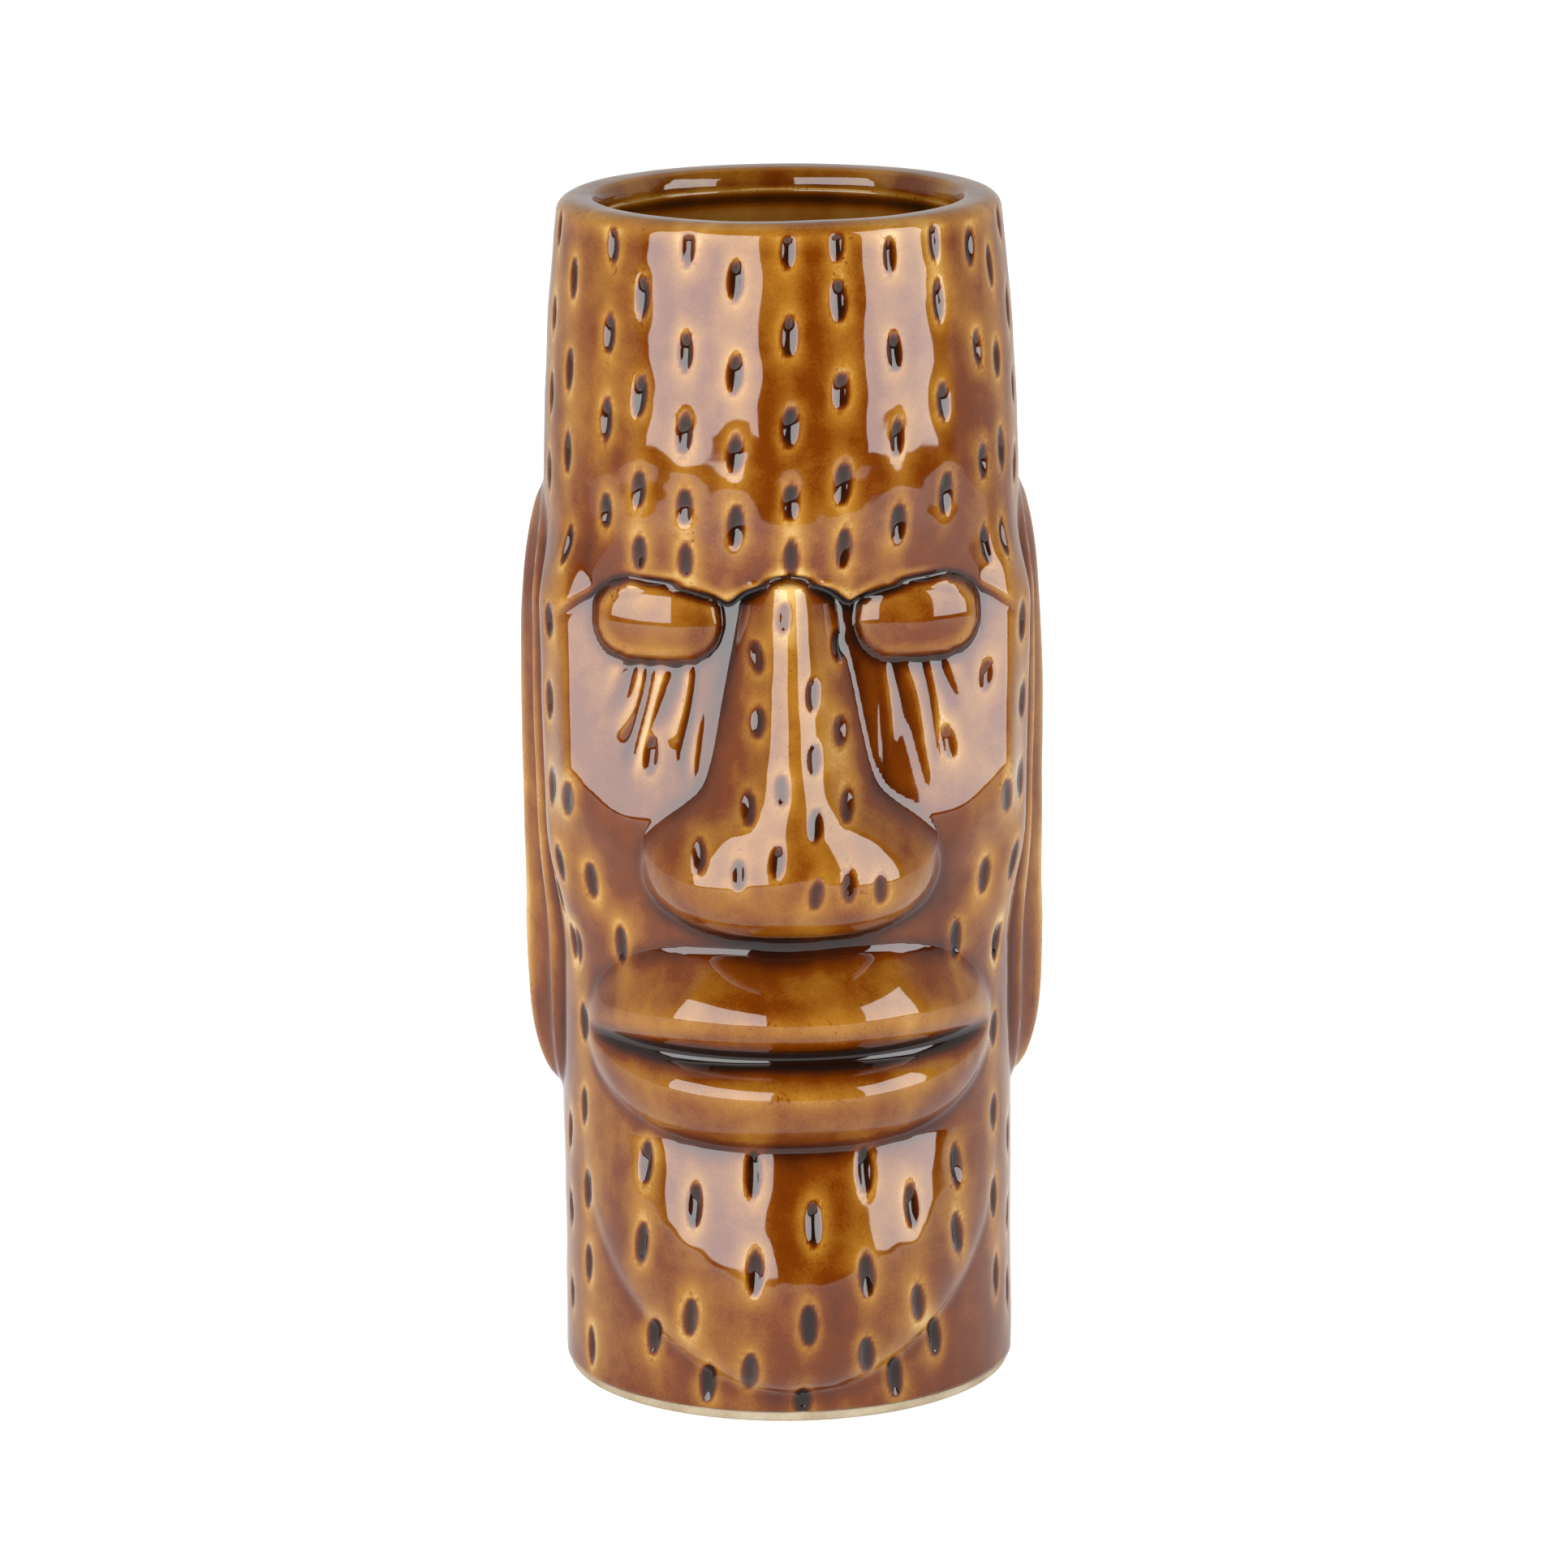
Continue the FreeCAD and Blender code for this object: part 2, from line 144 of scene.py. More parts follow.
@dataclass
class Cut:
    """One pressed tool mark: a short pointed slot in a shallow dent.

    Args:
        s: distance of its middle round the body from the front.
        z: height of its middle.
        tilt: how far its top leans towards +s, in degrees.
        half_length: half its length.
        half_width: half its width.
        depth: how deep it is.
        stain: share of the usual thickening in it.
        veil: share of the usual thinning round it.
        dent: depth of the shallow dent round the slot, as a share of its depth.
        dent_reach: how far the dent reaches from the slot's edge.
        pooled: how much thicker the glaze is in the slot.
        thinned: how much thinner it is beside the slot.
        thinned_ends: how much more than that it is at the slot's ends.
    """

    s: float
    z: float
    tilt: float = 0.0
    half_length: float = 2.7
    half_width: float = 1.0
    depth: float = 0.55
    stain: float = 1.0
    veil: float = 1.0
    dent: float = 0.15
    dent_reach: float = 3.5
    pooled: float = 0.40
    thinned: float = 0.23
    thinned_ends: float = 0.07

    def apart(self, s: Array, z: Array) -> tuple[Array, Array, Array]:
        """How far places are outside the slot's edge, and how much of that is past its ends.

        Args:
            s: distance round the body.
            z: height.

        Returns:
            The distance, below 0 in the slot; the share of the way that lies along the slot; and how far
            out the place is, with 1 at the slot's edge.
        """
        turn = math.radians(self.tilt)
        across = (s - self.s) * math.cos(turn) - (z - self.z) * math.sin(turn)
        along = (s - self.s) * math.sin(turn) + (z - self.z) * math.cos(turn)
        away = np.maximum(np.hypot(across, along), 0.001)
        share = np.sqrt((across / self.half_width) ** 2 + np.abs(along / self.half_length) ** 2.6)
        return away * (1.0 - 1.0 / np.maximum(share, 0.001)), np.abs(along) / away, share

    def sink(self, away: Array, share: Array) -> Array:
        """How far the surface sinks into the slot and the dent round it.

        Args:
            away: distance outside the slot's edge.
            share: how far out each place is, with 1 at the slot's edge.

        Returns:
            The depth at each place.
        """
        slot = np.clip(1.2 - np.sqrt(share**2 + 0.03), 0.0, 1.0)
        return self.depth * slot + self.depth * self.dent * (1.0 - smooth(away / self.dent_reach))

    def gathered(self, away: Array, ends: Array) -> Array:
        """How the glaze gathers in the slot, and thins round it.

        Args:
            away: distance outside the slot's edge.
            ends: share of the way that lies along the slot.

        Returns:
            The change in thickness at each place.
        """
        halo = smooth((away + 0.1) / 1.0) * np.exp(-np.maximum(away - 0.7, 0.0) / (0.8 + 1.3 * ends**2))
        thinned = (self.thinned + self.thinned_ends * ends**2) * self.veil * halo
        return self.stain * self.pooled * (1.0 - smooth((away + 0.8) / 1.3)) - thinned


@dataclass
class ToolMarks:
    """The marks pressed all over the head, in staggered columns, and the ones listed one by one on the face.

    Args:
        columns: how many columns there are round the body.
        pitch: distance from one mark to the next in a column.
        top: height of the first mark under the rim.
        lowest: the height below which no column starts another mark.
        seed: picks how each mark strays.
        radius: the usual radius of the wall.
        reach: how far from a slot its mark changes the surface.
        forehead: angle of each column over the brow, in degrees, and then the heights of its marks.
        nose: distance to the side and height of each mark on the nose.
        cheek: the same for each mark on a cheek, which the other cheek repeats.
        chin: the same for each mark on the chin.
        flutes: the same for each long, shallow mark under the eyes, and then half its length and its tilt.
    """

    columns: int = 28
    pitch: float = 12.8
    top: float = 176.6
    lowest: float = 5.5
    seed: int = 11
    radius: float = 35.0
    reach: float = 6.0
    forehead: tuple[tuple[float, ...], ...] = (
        (-48, 176, 163, 150.5, 137),
        (-37.5, 169, 154.5, 141, 131.5),
        (-25, 177, 161.5, 149.6, 139, 131),
        (-12.5, 172, 158.6, 147, 136.5),
        (0.5, 176.5, 164, 151, 140, 131.5),
        (13, 177.3, 169, 156, 142.5, 133),
        (27, 175, 161, 148.6, 136),
        (41, 176.5, 167.7, 153, 139.5),
        (55, 174.6, 159.6, 143, 130.5),
    )
    nose: tuple[tuple[float, float], ...] = (
        (-1, 123), (9, 118), (-6, 117), (4, 112), (-6, 108), (9, 106), (4, 103), (-2, 99),
        (10, 96), (-8, 96), (4, 94), (-3, 89), (-10, 87), (-17, 89), (4, 84), (10, 85), (16, 84),
    )  # fmt: skip
    cheek: tuple[tuple[float, float], ...] = ((29.5, 92), (28, 80), (33, 76), (25.5, 71), (31, 69))
    chin: tuple[tuple[float, float], ...] = (
        (-25, 39), (-17, 34), (-7, 39), (3, 32), (12, 39), (20, 33), (-26, 27), (28, 27), (-7, 25),
        (12, 24), (-18, 17), (2, 17), (21, 18), (-8, 9), (12, 11), (-15, 6), (1, 3.6), (17, 6),
        (-24, 12), (24, 11), (28, 37),
    )  # fmt: skip
    flutes: tuple[tuple[float, float, float, float], ...] = (
        (-19.8, 101.5, 2.6, 8.0),
        (27.2, 111.4, 2.0, 10.0),
        (22.6, 102.5, 2.4, -16.0),
    )

    def round_s(self, x: float) -> float:
        """Distance round the body of a point on the front.

        Args:
            x: how far it is to the side of the middle.

        Returns:
            The distance along the wall.
        """
        return self.radius * math.asin(max(-0.999, min(0.999, x / self.radius)))

    def on_face(self, s: float, z: float) -> bool:
        """Whether a point is on the face or an ear, where no columns run.

        Args:
            s: distance round the body from the front.
            z: height.

        Returns:
            True on the face or an ear.
        """
        side = math.degrees(s / self.radius)
        turn = abs(side)
        if z > 128 and -54 < side < 60:
            return True
        if turn < 62 and z < 128:
            return turn < 54 or z > 42
        return 76 <= turn < 115 and 44 < z < 137

    def marks(self) -> list[Cut]:
        """Every mark on the body.

        Returns:
            The marks, in no special order.
        """
        rng = np.random.default_rng(self.seed)
        cuts: list[Cut] = []
        step = math.tau * self.radius / self.columns
        for column in range(-self.columns // 2, self.columns // 2):
            z = self.top - (self.pitch * 0.5 if column % 2 else 0.0) + rng.uniform(-1.0, 1.0)
            while z > self.lowest:
                s = column * step + rng.normal(0.0, 0.35)
                tilt = rng.normal(2.0, 4.0)
                if not self.on_face(s, z):
                    half = min(rng.uniform(2.4, 3.1), 0.45 * z)
                    cuts.append(Cut(s, z, tilt, half, rng.uniform(0.85, 1.05), rng.uniform(0.42, 0.58)))
                z -= self.pitch * rng.uniform(0.9, 1.08)
        for turn, *levels in self.forehead:
            for z in levels:
                s = math.radians(turn) * self.radius
                cuts.append(Cut(s, z, rng.normal(1.0, 3.0), rng.uniform(2.4, 3.0), rng.uniform(0.9, 1.1)))
        for x, z in self.nose:
            cuts.append(Cut(self.round_s(x * 0.8), z, rng.normal(2.0, 4.0), 2.1, 0.9, 0.45, 0.85, 0.7))
        for x, z in self.cheek:
            for side in (-1, 1):
                s = side * self.round_s(x + rng.normal(0.0, 0.5))
                cuts.append(Cut(s, z + rng.normal(0.0, 0.8), -4.0 * side, 2.6, 0.95, 0.5))
        for x, z in self.chin:
            cuts.append(Cut(self.round_s(x * 0.9), z, -0.35 * x, min(3.1, 0.6 * z), 1.1, 0.65))
        for x, z, half, tilt in self.flutes:
            cuts.append(Cut(self.round_s(x), z, tilt, half, 1.0, 0.45, 0.25, 0.9))
        return cuts


@dataclass
class Relief:
    """The carved outside of the mug as a function of the angle round it and the height.

    A field that ends in radius, half or width is a size across. One that ends in level, top, base, tip or
    crest is a height, and so are brow_over_eye and brow_over_nose, the heights of the brow's lower edge.
    One that ends in reach, bulge, swell, step or tuck says how far that part stands out or falls back,
    and one that ends in power says how squared-off an oval is.
    """

    height: float = 180.0
    foot_radius: float = 33.7
    brow_radius: float = 35.1
    brow_level: float = 140.0
    rim_radius: float = 32.4
    cheek_bend: float = 57.0
    cheek_front: float = 28.2
    cheek_tilt: float = 0.16
    cheek_half: float = 32.5
    cheek_swell: float = 3.4
    brow_over_eye: float = 127.2
    brow_over_nose: float = 128.5
    brow_tuck: float = 2.0
    brow_round: float = 9.0
    brow_step: float = 2.2
    brow_bend_nose: float = 0.055
    brow_bend_eye: float = 0.028
    groove: float = 0.15
    eye_offset: float = 18.9
    eye_level: float = 121.3
    eye_half_width: float = 9.0
    eye_half_height: float = 5.9
    eye_bulge: float = 4.4
    eye_roundness: float = 36.0
    eye_turn: float = 4.0
    eye_power: float = 2.7
    nose_top: float = 128.0
    nose_tip: float = 86.0
    nose_drop: float = 11.0
    bridge_half: float = 7.2
    nostril_half: float = 22.0
    nose_reach: float = 11.4
    bridge_reach: float = 5.2
    ridge: float = 0.40
    nostril_power: float = 2.6
    nostril_flare: float = 6.6
    mouth_level: float = 57.0
    mouth_half: float = 30.2
    mouth_power: float = 3.6
    upper_lip: float = 16.0
    lower_lip: float = 14.0
    upper_crest: float = 62.9
    lip_round: float = 5.0
    lower_crest: float = 51.6
    upper_reach: float = 7.2
    lower_reach: float = 6.4
    slit_reach: float = 2.2
    chin_half: float = 31.0
    chin_top: float = 43.0
    chin_base: float = 5.0
    chin_reach: float = 6.3
    ear_top: float = 135.5
    ear_base: float = 45.0
    ear_reach: float = 5.7
    ear_half: float = 9.5
    lobe_half: float = 6.0
    front_rim: float = 0.22
    ear_hollow: float = 1.0

    def wall_radius(self, z: Array) -> Array:
        """The plain round wall that the face is carved on.

        Args:
            z: height.

        Returns:
            The wall's radius at each height.
        """
        above = np.clip((z - self.brow_level) / (self.height - self.brow_level), 0.0, 1.0) ** 1.6
        upper = self.brow_radius + (self.rim_radius - self.brow_radius) * above
        below = smooth((z - self.foot_radius) / (self.brow_level - self.foot_radius))
        lower = self.foot_radius + (self.brow_radius - self.foot_radius) * below
        return np.where(z > self.brow_level, upper, lower)

    def brow_edge(self, x: Array) -> Array:
        """Height of the brow's lower edge.

        Args:
            x: distance to the side of the middle.

        Returns:
            The height at each place.
        """
        over_nose = self.brow_over_nose - self.brow_bend_nose * x * x
        over_eye = self.brow_over_eye - self.brow_bend_eye * (np.abs(x) - self.eye_offset) ** 2
        return np.maximum(over_nose, over_eye)

    def face(self, x: Array, z: Array, wall: Array) -> Array:
        """The brow, and the flatter plane of the cheeks under it, which leans back towards the brow.

        Args:
            x: distance to the side of the middle.
            z: height.
            wall: how far forward the plain wall is.

        Returns:
            How far the wall is pushed forwards.
        """
        edge = self.brow_edge(x)
        plane = np.sqrt(self.cheek_bend**2 - np.minimum(x * x, 36.0**2)) - self.cheek_bend
        plane = plane + self.cheek_front + self.cheek_tilt * np.clip(130.0 - z, 0.0, 38.0)
        reach = 1.0 - smooth((np.abs(x) - self.cheek_half) / 3.0)
        low = 74.0 + 0.727 * np.abs(x)
        cheek = (plane - wall) * reach * smooth((z - low + 13.0) / 13.5)
        above = z - edge
        step = self.brow_step - 1.7 * smooth((np.abs(x) - 20.0) / 7.0)
        fill = (plane + step - wall) * (1.0 - smooth(above / 20.0))
        under = np.clip((self.brow_round - above) / self.brow_round, 0.0, 1.0)
        tuck = self.brow_tuck * (1.0 - np.sqrt(1.0 - 0.96 * under**2))
        brow = 0.5 * (fill - tuck + np.sqrt((fill + tuck) ** 2 + 0.04) - 0.2) * reach
        under_brow = 1.0 - smooth((above + 0.5) / 0.9)
        groove = self.groove * np.exp(-(((above + 0.9) / 0.6) ** 2)) * reach
        return cheek * under_brow + brow * (1.0 - under_brow) - groove

    def nose(self, x: Array, z: Array) -> Array:
        """Height of the nose above the face, and far below it beside the nose.

        Args:
            x: distance to the side of the middle.
            z: height.

        Returns:
            The height at each place.
        """
        share = np.clip((self.nose_top - z) / (self.nose_top - self.nose_tip), 0.0, 1.0)
        half = self.bridge_half + (self.nostril_half - self.bridge_half - self.nostril_flare) * share
        half = half + self.nostril_flare * smooth((self.nose_tip + 12.0 - z) / 10.0)
        reach = self.bridge_reach + (self.nose_reach - self.bridge_reach) * share
        ridge = np.sqrt((x / half) ** 2 + self.ridge**2) - self.ridge
        sharp = 1.0 - ridge / (math.hypot(1.0, self.ridge) - self.ridge)
        round_ = np.sqrt(np.clip(1.0 - (x / half) ** 2, 0.0, 1.0))
        tip = smooth((self.nose_tip + 17.0 - z) / 20.0)
        upper = sharp * (1.0 - tip) + round_ * tip
        across = np.abs(x / self.nostril_half) ** self.nostril_power
        across = across + np.clip((self.nose_tip - z) / self.nose_drop, 0.0, None) ** self.nostril_power
        lower = np.sqrt(np.clip(1.0 - across, 0.0, 1.0))
        blend = smooth((self.nose_tip + 4.0 - z) / 8.0)
        height = (reach + 1.0) * (upper * (1.0 - blend) + lower * blend) - 1.0
        inside = np.where(z > self.nose_tip, np.abs(x) < half, across < 1.0)
        return np.where(inside & (z < self.nose_top), height, -99.0)

    def eye(self, x: Array, z: Array) -> Array:
        """Height of an eye above the face, and the ditch round it.

        Args:
            x: distance to the side of the middle.
            z: height.

        Returns:
            The height at each place.
        """
        across = np.abs((np.abs(x) - self.eye_offset) / self.eye_half_width) ** self.eye_power
        across = across + np.abs((z - self.eye_level) / self.eye_half_height) ** self.eye_power
        outward = (np.abs(x) - self.eye_offset - self.eye_turn) ** 2
        away = outward / 1.6 + (z - self.eye_level - 2.2) ** 2
        height = (self.eye_bulge - away / self.eye_roundness) * np.clip(1.0 - across, 0.0, 1.0) ** 0.09 - 0.4
        ditch = -0.35 * np.exp(-(((across - 1.10) / 0.14) ** 2))
        return np.where(across < 1.0, height, ditch)

    def lips(self, x: Array, z: Array) -> Array:
        """Both lips, and the line between them.

        Args:
            x: distance to the side of the middle.
            z: height.

        Returns:
            How far they stand out at each place.
        """
        side = np.abs(x / self.mouth_half) ** self.mouth_power
        taper = np.clip(1.0 - side, 0.0, 1.0)
        line = self.mouth_level + 0.5 * side
        top = line + self.upper_lip * taper**0.45 - 1.2 * np.exp(-((x / 9.0) ** 2))
        bottom = line - self.lower_lip * taper**0.45
        high = line + (self.upper_crest - self.mouth_level) * taper**0.4
        low = line + (self.lower_crest - self.mouth_level) * taper**0.4
        above = (z - high) / np.maximum(np.where(z > high, top - high, high - line), 0.05)
        below = (z - low) / np.maximum(np.where(z < low, low - bottom, line - low), 0.05)
        whole = self.upper_reach + self.lip_round
        slope = np.sqrt(self.lip_round**2 + (whole**2 - self.lip_round**2) * np.clip(above, 0.0, 1.0) ** 2)
        crest = np.where(above > 0.0, (whole - slope) / self.upper_reach, dome(above, 1.75, 0.7))
        upper = self.upper_reach * taper**0.55 * crest
        lower = self.lower_reach * taper**0.55 * dome(below, 1.75, 0.7)
        floor = self.slit_reach * taper**0.5 * dome((z - line) / 6.0, 2.0, 1.0)
        return np.maximum(np.maximum(upper, lower), floor) * (taper > 0.0)

    def chin(self, x: Array, z: Array) -> Array:
        """The chin, which stands out further towards its base.

        Args:
            x: distance to the side of the middle.
            z: height.

        Returns:
            How far it stands out at each place.
        """
        middle = self.chin_top - 5.0
        across = np.hypot(x / self.chin_half, np.maximum(0.0, middle - z) / (middle - self.chin_base))
        ramp = np.sin(0.5 * math.pi * np.clip((self.chin_top + 0.5 - z) / 31.0, 0.0, 1.0))
        return self.chin_reach * ramp * dome(across, 4.0, 0.55)

    def drapery(self, x: Array, z: Array) -> Array:
        """The soft upright ripples in the cheeks under the eyes.

        Args:
            x: distance to the side of the middle, below 0 on the left.
            z: height.

        Returns:
            Their height at each place.
        """
        side = np.abs(x)
        fan = side * (1.0 - 0.012 * (112.0 - z)) + 0.35 * np.sin(0.31 * z + 1.9 * np.sign(x))
        wave = np.sin(math.tau * fan / 3.5 + 0.9 * np.sin(0.9 * side) + 1.3 * np.sign(x))
        across = smooth((side - 11.5) / 3.0) * (1.0 - smooth((side - 23.5) / 5.0))
        low = 99.0 + 4.0 * np.sin(0.8 * side + np.sign(x))
        height = np.where(x < 0, 0.3, 0.2)
        upright = smooth((z - low) / 6.0) * (1.0 - smooth((z - 113.5) / 2.0))
        return height * wave * across * upright

    def forward(self, x: Array, z: Array, wall: Array) -> Array:
        """How far the front is pushed forwards, all together.

        Args:
            x: distance to the side of the middle.
            z: height.
            wall: how far forward the plain wall is.

        Returns:
            The push at each place.
        """
        nose, eye = self.nose(x, z), self.eye(x, z)
        raised = np.maximum(np.maximum(nose, eye), 0.0) + np.minimum(eye, 0.0) * (nose < 0)
        rest = self.lips(x, z) + self.chin(x, z) + self.drapery(x, z)
        return self.face(x, z, wall) + raised + rest

    def corner(self, y: Array, z: Array) -> Array:
        """How far the corners of the squared-off face are pushed out to the sides.

        Args:
            y: distance behind the middle of the body.
            z: height.

        Returns:
            The push at each place.
        """
        band = smooth((z - 66.0) / 22.0) * (1.0 - smooth((z - 120.0) / 14.0))
        return self.cheek_swell * np.exp(-(((y + 15.0) / 9.5) ** 2)) * band

    def ear(self, y: Array, z: Array) -> Array:
        """How far an ear stands out, with its rolled rim and hollow.

        Args:
            y: distance behind the middle of the body.
            z: height.

        Returns:
            The push at each place.
        """
        share = smooth((z - self.ear_base) / (self.ear_top - self.ear_base))
        half = self.lobe_half + (self.ear_half - self.lobe_half) * share
        fade = np.clip((z - 95.0) / (self.ear_top + 1.0 - 95.0), 0.0, 1.0) ** 2.5
        fade = np.maximum(fade, np.clip((80.0 - z) / (80.0 - self.ear_base + 1.0), 0.0, 1.0) ** 5)
        across = (y - 0.5 - 1.5 * share) / (half * np.maximum(1.0 - fade, 0.02) ** 0.3)
        tall = (1.0 - fade) ** 0.6
        lean = self.front_rim + (1.0 - self.front_rim) * smooth((across + 0.5) / 1.0)
        body = self.ear_reach * lean * dome(across, 3.0, 0.75)
        ridge = 1.1 * np.exp(-(((across + 0.74) / 0.15) ** 2))
        hollow = self.ear_hollow * dome((across - 0.02) / 0.5, 2.0, 1.0) * smooth((z - 66.0) / 12.0)
        ditch = 0.6 * np.exp(-(((np.abs(across) - 1.1) / 0.1) ** 2))
        return tall * (body + ridge - hollow - ditch)

    def carve(self, angle: Array, radius: Array, z: Array) -> Array:
        """Points of the carved surface.

        Args:
            angle: angle round the body from the front.
            radius: radius of the plain wall there.
            z: height.

        Returns:
            The points, with x, y and z last.
        """
        x, y = radius * np.sin(angle), -radius * np.cos(angle)
        out = x + np.sign(x) * np.where(y < 0, self.corner(y, z), 0.0)
        push = np.where(y < 0, self.forward(out, z, -y), 0.0)
        ear = np.where(np.abs(np.sin(angle)) > 0.5, self.ear(y, z), 0.0)
        return np.stack([out + np.sign(x) * ear, y - push, z], axis=-1)


class Nodes:
    """A short way to fill a node tree."""

    def __init__(self, tree: bpy.types.NodeTree) -> None:
        """Keeps the tree.

        Args:
            tree: the tree to fill.
        """
        self.tree = tree

    def add(self, kind: str, inputs: dict | None = None, **settings: object) -> bpy.types.Node:
        """Adds a node.

        Args:
            kind: the node's type.
            inputs: socket name or index to a value, or to the output socket that feeds it.
            settings: the node's own settings.

        Returns:
            The node.
        """
        node = self.tree.nodes.new(kind)
        for name, value in settings.items():
            setattr(node, name, value)
        for name, value in (inputs or {}).items():
            if isinstance(value, bpy.types.NodeSocket):
                self.tree.links.new(value, node.inputs[name])
            else:
                node.inputs[name].default_value = value
        return node

    def math(self, operation: str, *values: object) -> bpy.types.NodeSocket:
        """Adds a Math node.

        Args:
            operation: what it does.
            values: its inputs, each a number or an output socket.

        Returns:
            Its output.
        """
        return self.add("ShaderNodeMath", dict(enumerate(values)), operation=operation).outputs[0]

    def noise(self, place: bpy.types.NodeSocket, scale: float, detail: float) -> bpy.types.NodeSocket:
        """Adds soft noise.

        Args:
            place: the coordinates that it reads.
            scale: how many waves there are in a metre.
            detail: how many finer layers it has.

        Returns:
            Its value, about 0 to 1.
        """
        inputs = {"Vector": place, "Scale": scale, "Detail": detail}
        return self.add("ShaderNodeTexNoise", inputs).outputs["Fac"]

    def between(self, value: bpy.types.NodeSocket, low: float, high: float) -> bpy.types.NodeSocket:
        """Adds a Map Range node that is 0 at one value and 1 at another.

        Args:
            value: what drives it.
            low: the value that gives 0.
            high: the value that gives 1.

        Returns:
            Its output.
        """
        inputs = {"Value": value, "From Min": low, "From Max": high}
        return self.add("ShaderNodeMapRange", inputs).outputs["Result"]

    def ramp(self, value: bpy.types.NodeSocket, stops: list[tuple[float, Colour]]) -> bpy.types.NodeSocket:
        """Adds a colour ramp.

        Args:
            value: what drives it.
            stops: place and colour of each stop.

        Returns:
            Its colour.
        """
        node = self.add("ShaderNodeValToRGB", {"Fac": value})
        elements = node.color_ramp.elements
        while len(elements) < len(stops):
            elements.new(0.5)
        for element, (place, colour) in zip(elements, stops):
            element.position = place
            element.color = (*colour, 1.0)
        return node.outputs["Color"]


@dataclass(frozen=True)
class GlazeTones:
    """The colours that one translucent glaze takes as it gets thicker.

    Args:
        broken: where it has run thin over an edge.
        thin: a thin coat.
        usual: the usual coat.
        thick: a thick coat.
        pooled: a deep pool.
    """

    broken: Colour
    thin: Colour
    usual: Colour
    thick: Colour
    pooled: Colour

    def stops(self) -> list[tuple[float, Colour]]:
        """The colours as stops of a ramp over the coat's thickness."""
        return [
            (0.0, self.broken),
            (0.28, self.thin),
            (0.5, self.usual),
            (0.72, self.thick),
            (0.95, self.pooled),
        ]


AMBER_TONES = GlazeTones(
    broken=(0.40, 0.255, 0.080),
    thin=(0.205, 0.084, 0.0085),
    usual=(0.089, 0.0175, 0.0003),
    thick=(0.032, 0.0050, 0.0003),
    pooled=(0.0065, 0.0022, 0.0010),
)
HONEY_TONES = GlazeTones(
    broken=(0.34, 0.205, 0.066),
    thin=(0.18, 0.078, 0.012),
    usual=(0.112, 0.027, 0.0006),
    thick=(0.045, 0.010, 0.0005),
    pooled=(0.009, 0.0030, 0.0010),
)


def cloud_group() -> bpy.types.NodeTree:
    """Builds the group that both glazes use for the way a coat varies.

    Returns:
        The group, whose outputs are the coat's Thickness and the height of its Skin.
    """
    group = bpy.data.node_groups.new("glaze_clouds", "ShaderNodeTree")
    for name in ("Pool", "Cloud amount", "Speck amount", "Iron amount"):
        group.interface.new_socket(name, in_out="INPUT", socket_type="NodeSocketFloat")
    for name in ("Thickness", "Skin"):
        group.interface.new_socket(name, in_out="OUTPUT", socket_type="NodeSocketFloat")
    n = Nodes(group)
    given = n.add("NodeGroupInput").outputs
    place = n.add("ShaderNodeTexCoord").outputs["Object"]
    stretched = n.add("ShaderNodeMapping", {"Vector": place, "Scale": (1.0, 1.0, 0.6)}).outputs[0]
    large = n.math("MULTIPLY", n.noise(stretched, 95.0, 2.5), 1.6)
    small = n.math("MULTIPLY", n.noise(place, 340.0, 3.0), 0.5)
    cloud = n.math("SUBTRACT", n.math("ADD", large, small), 1.05)
    cloud = n.math("MULTIPLY", cloud, given["Cloud amount"])
    speck = n.math("SUBTRACT", n.noise(place, 2600.0, 1.0), 0.5)
    speck = n.math("MULTIPLY", speck, given["Speck amount"])
    dots = n.between(n.noise(place, 1500.0, 1.0), 0.60, 0.70)
    drift = n.between(n.noise(place, 130.0, 1.0), 0.42, 0.62)
    broken = n.between(given["Pool"], 0.38, 0.22)
    iron = n.math("MULTIPLY", broken, given["Iron amount"])
    iron = n.math("MULTIPLY", n.math("MULTIPLY", dots, drift), iron)
    total = n.math("ADD", n.math("ADD", n.math("ADD", given["Pool"], cloud), speck), iron)
    n.add("NodeGroupOutput", {"Thickness": total, "Skin": n.noise(place, 210.0, 1.0)})
    return group


def new_material(name: str) -> tuple[bpy.types.Material, Nodes]:
    """Makes a material with nothing in it yet.

    Args:
        name: its name.

    Returns:
        The material, and its node tree to fill.
    """
    made = bpy.data.materials.new(name)
    made.use_nodes = True
    made.node_tree.nodes.clear()
    return made, Nodes(made.node_tree)


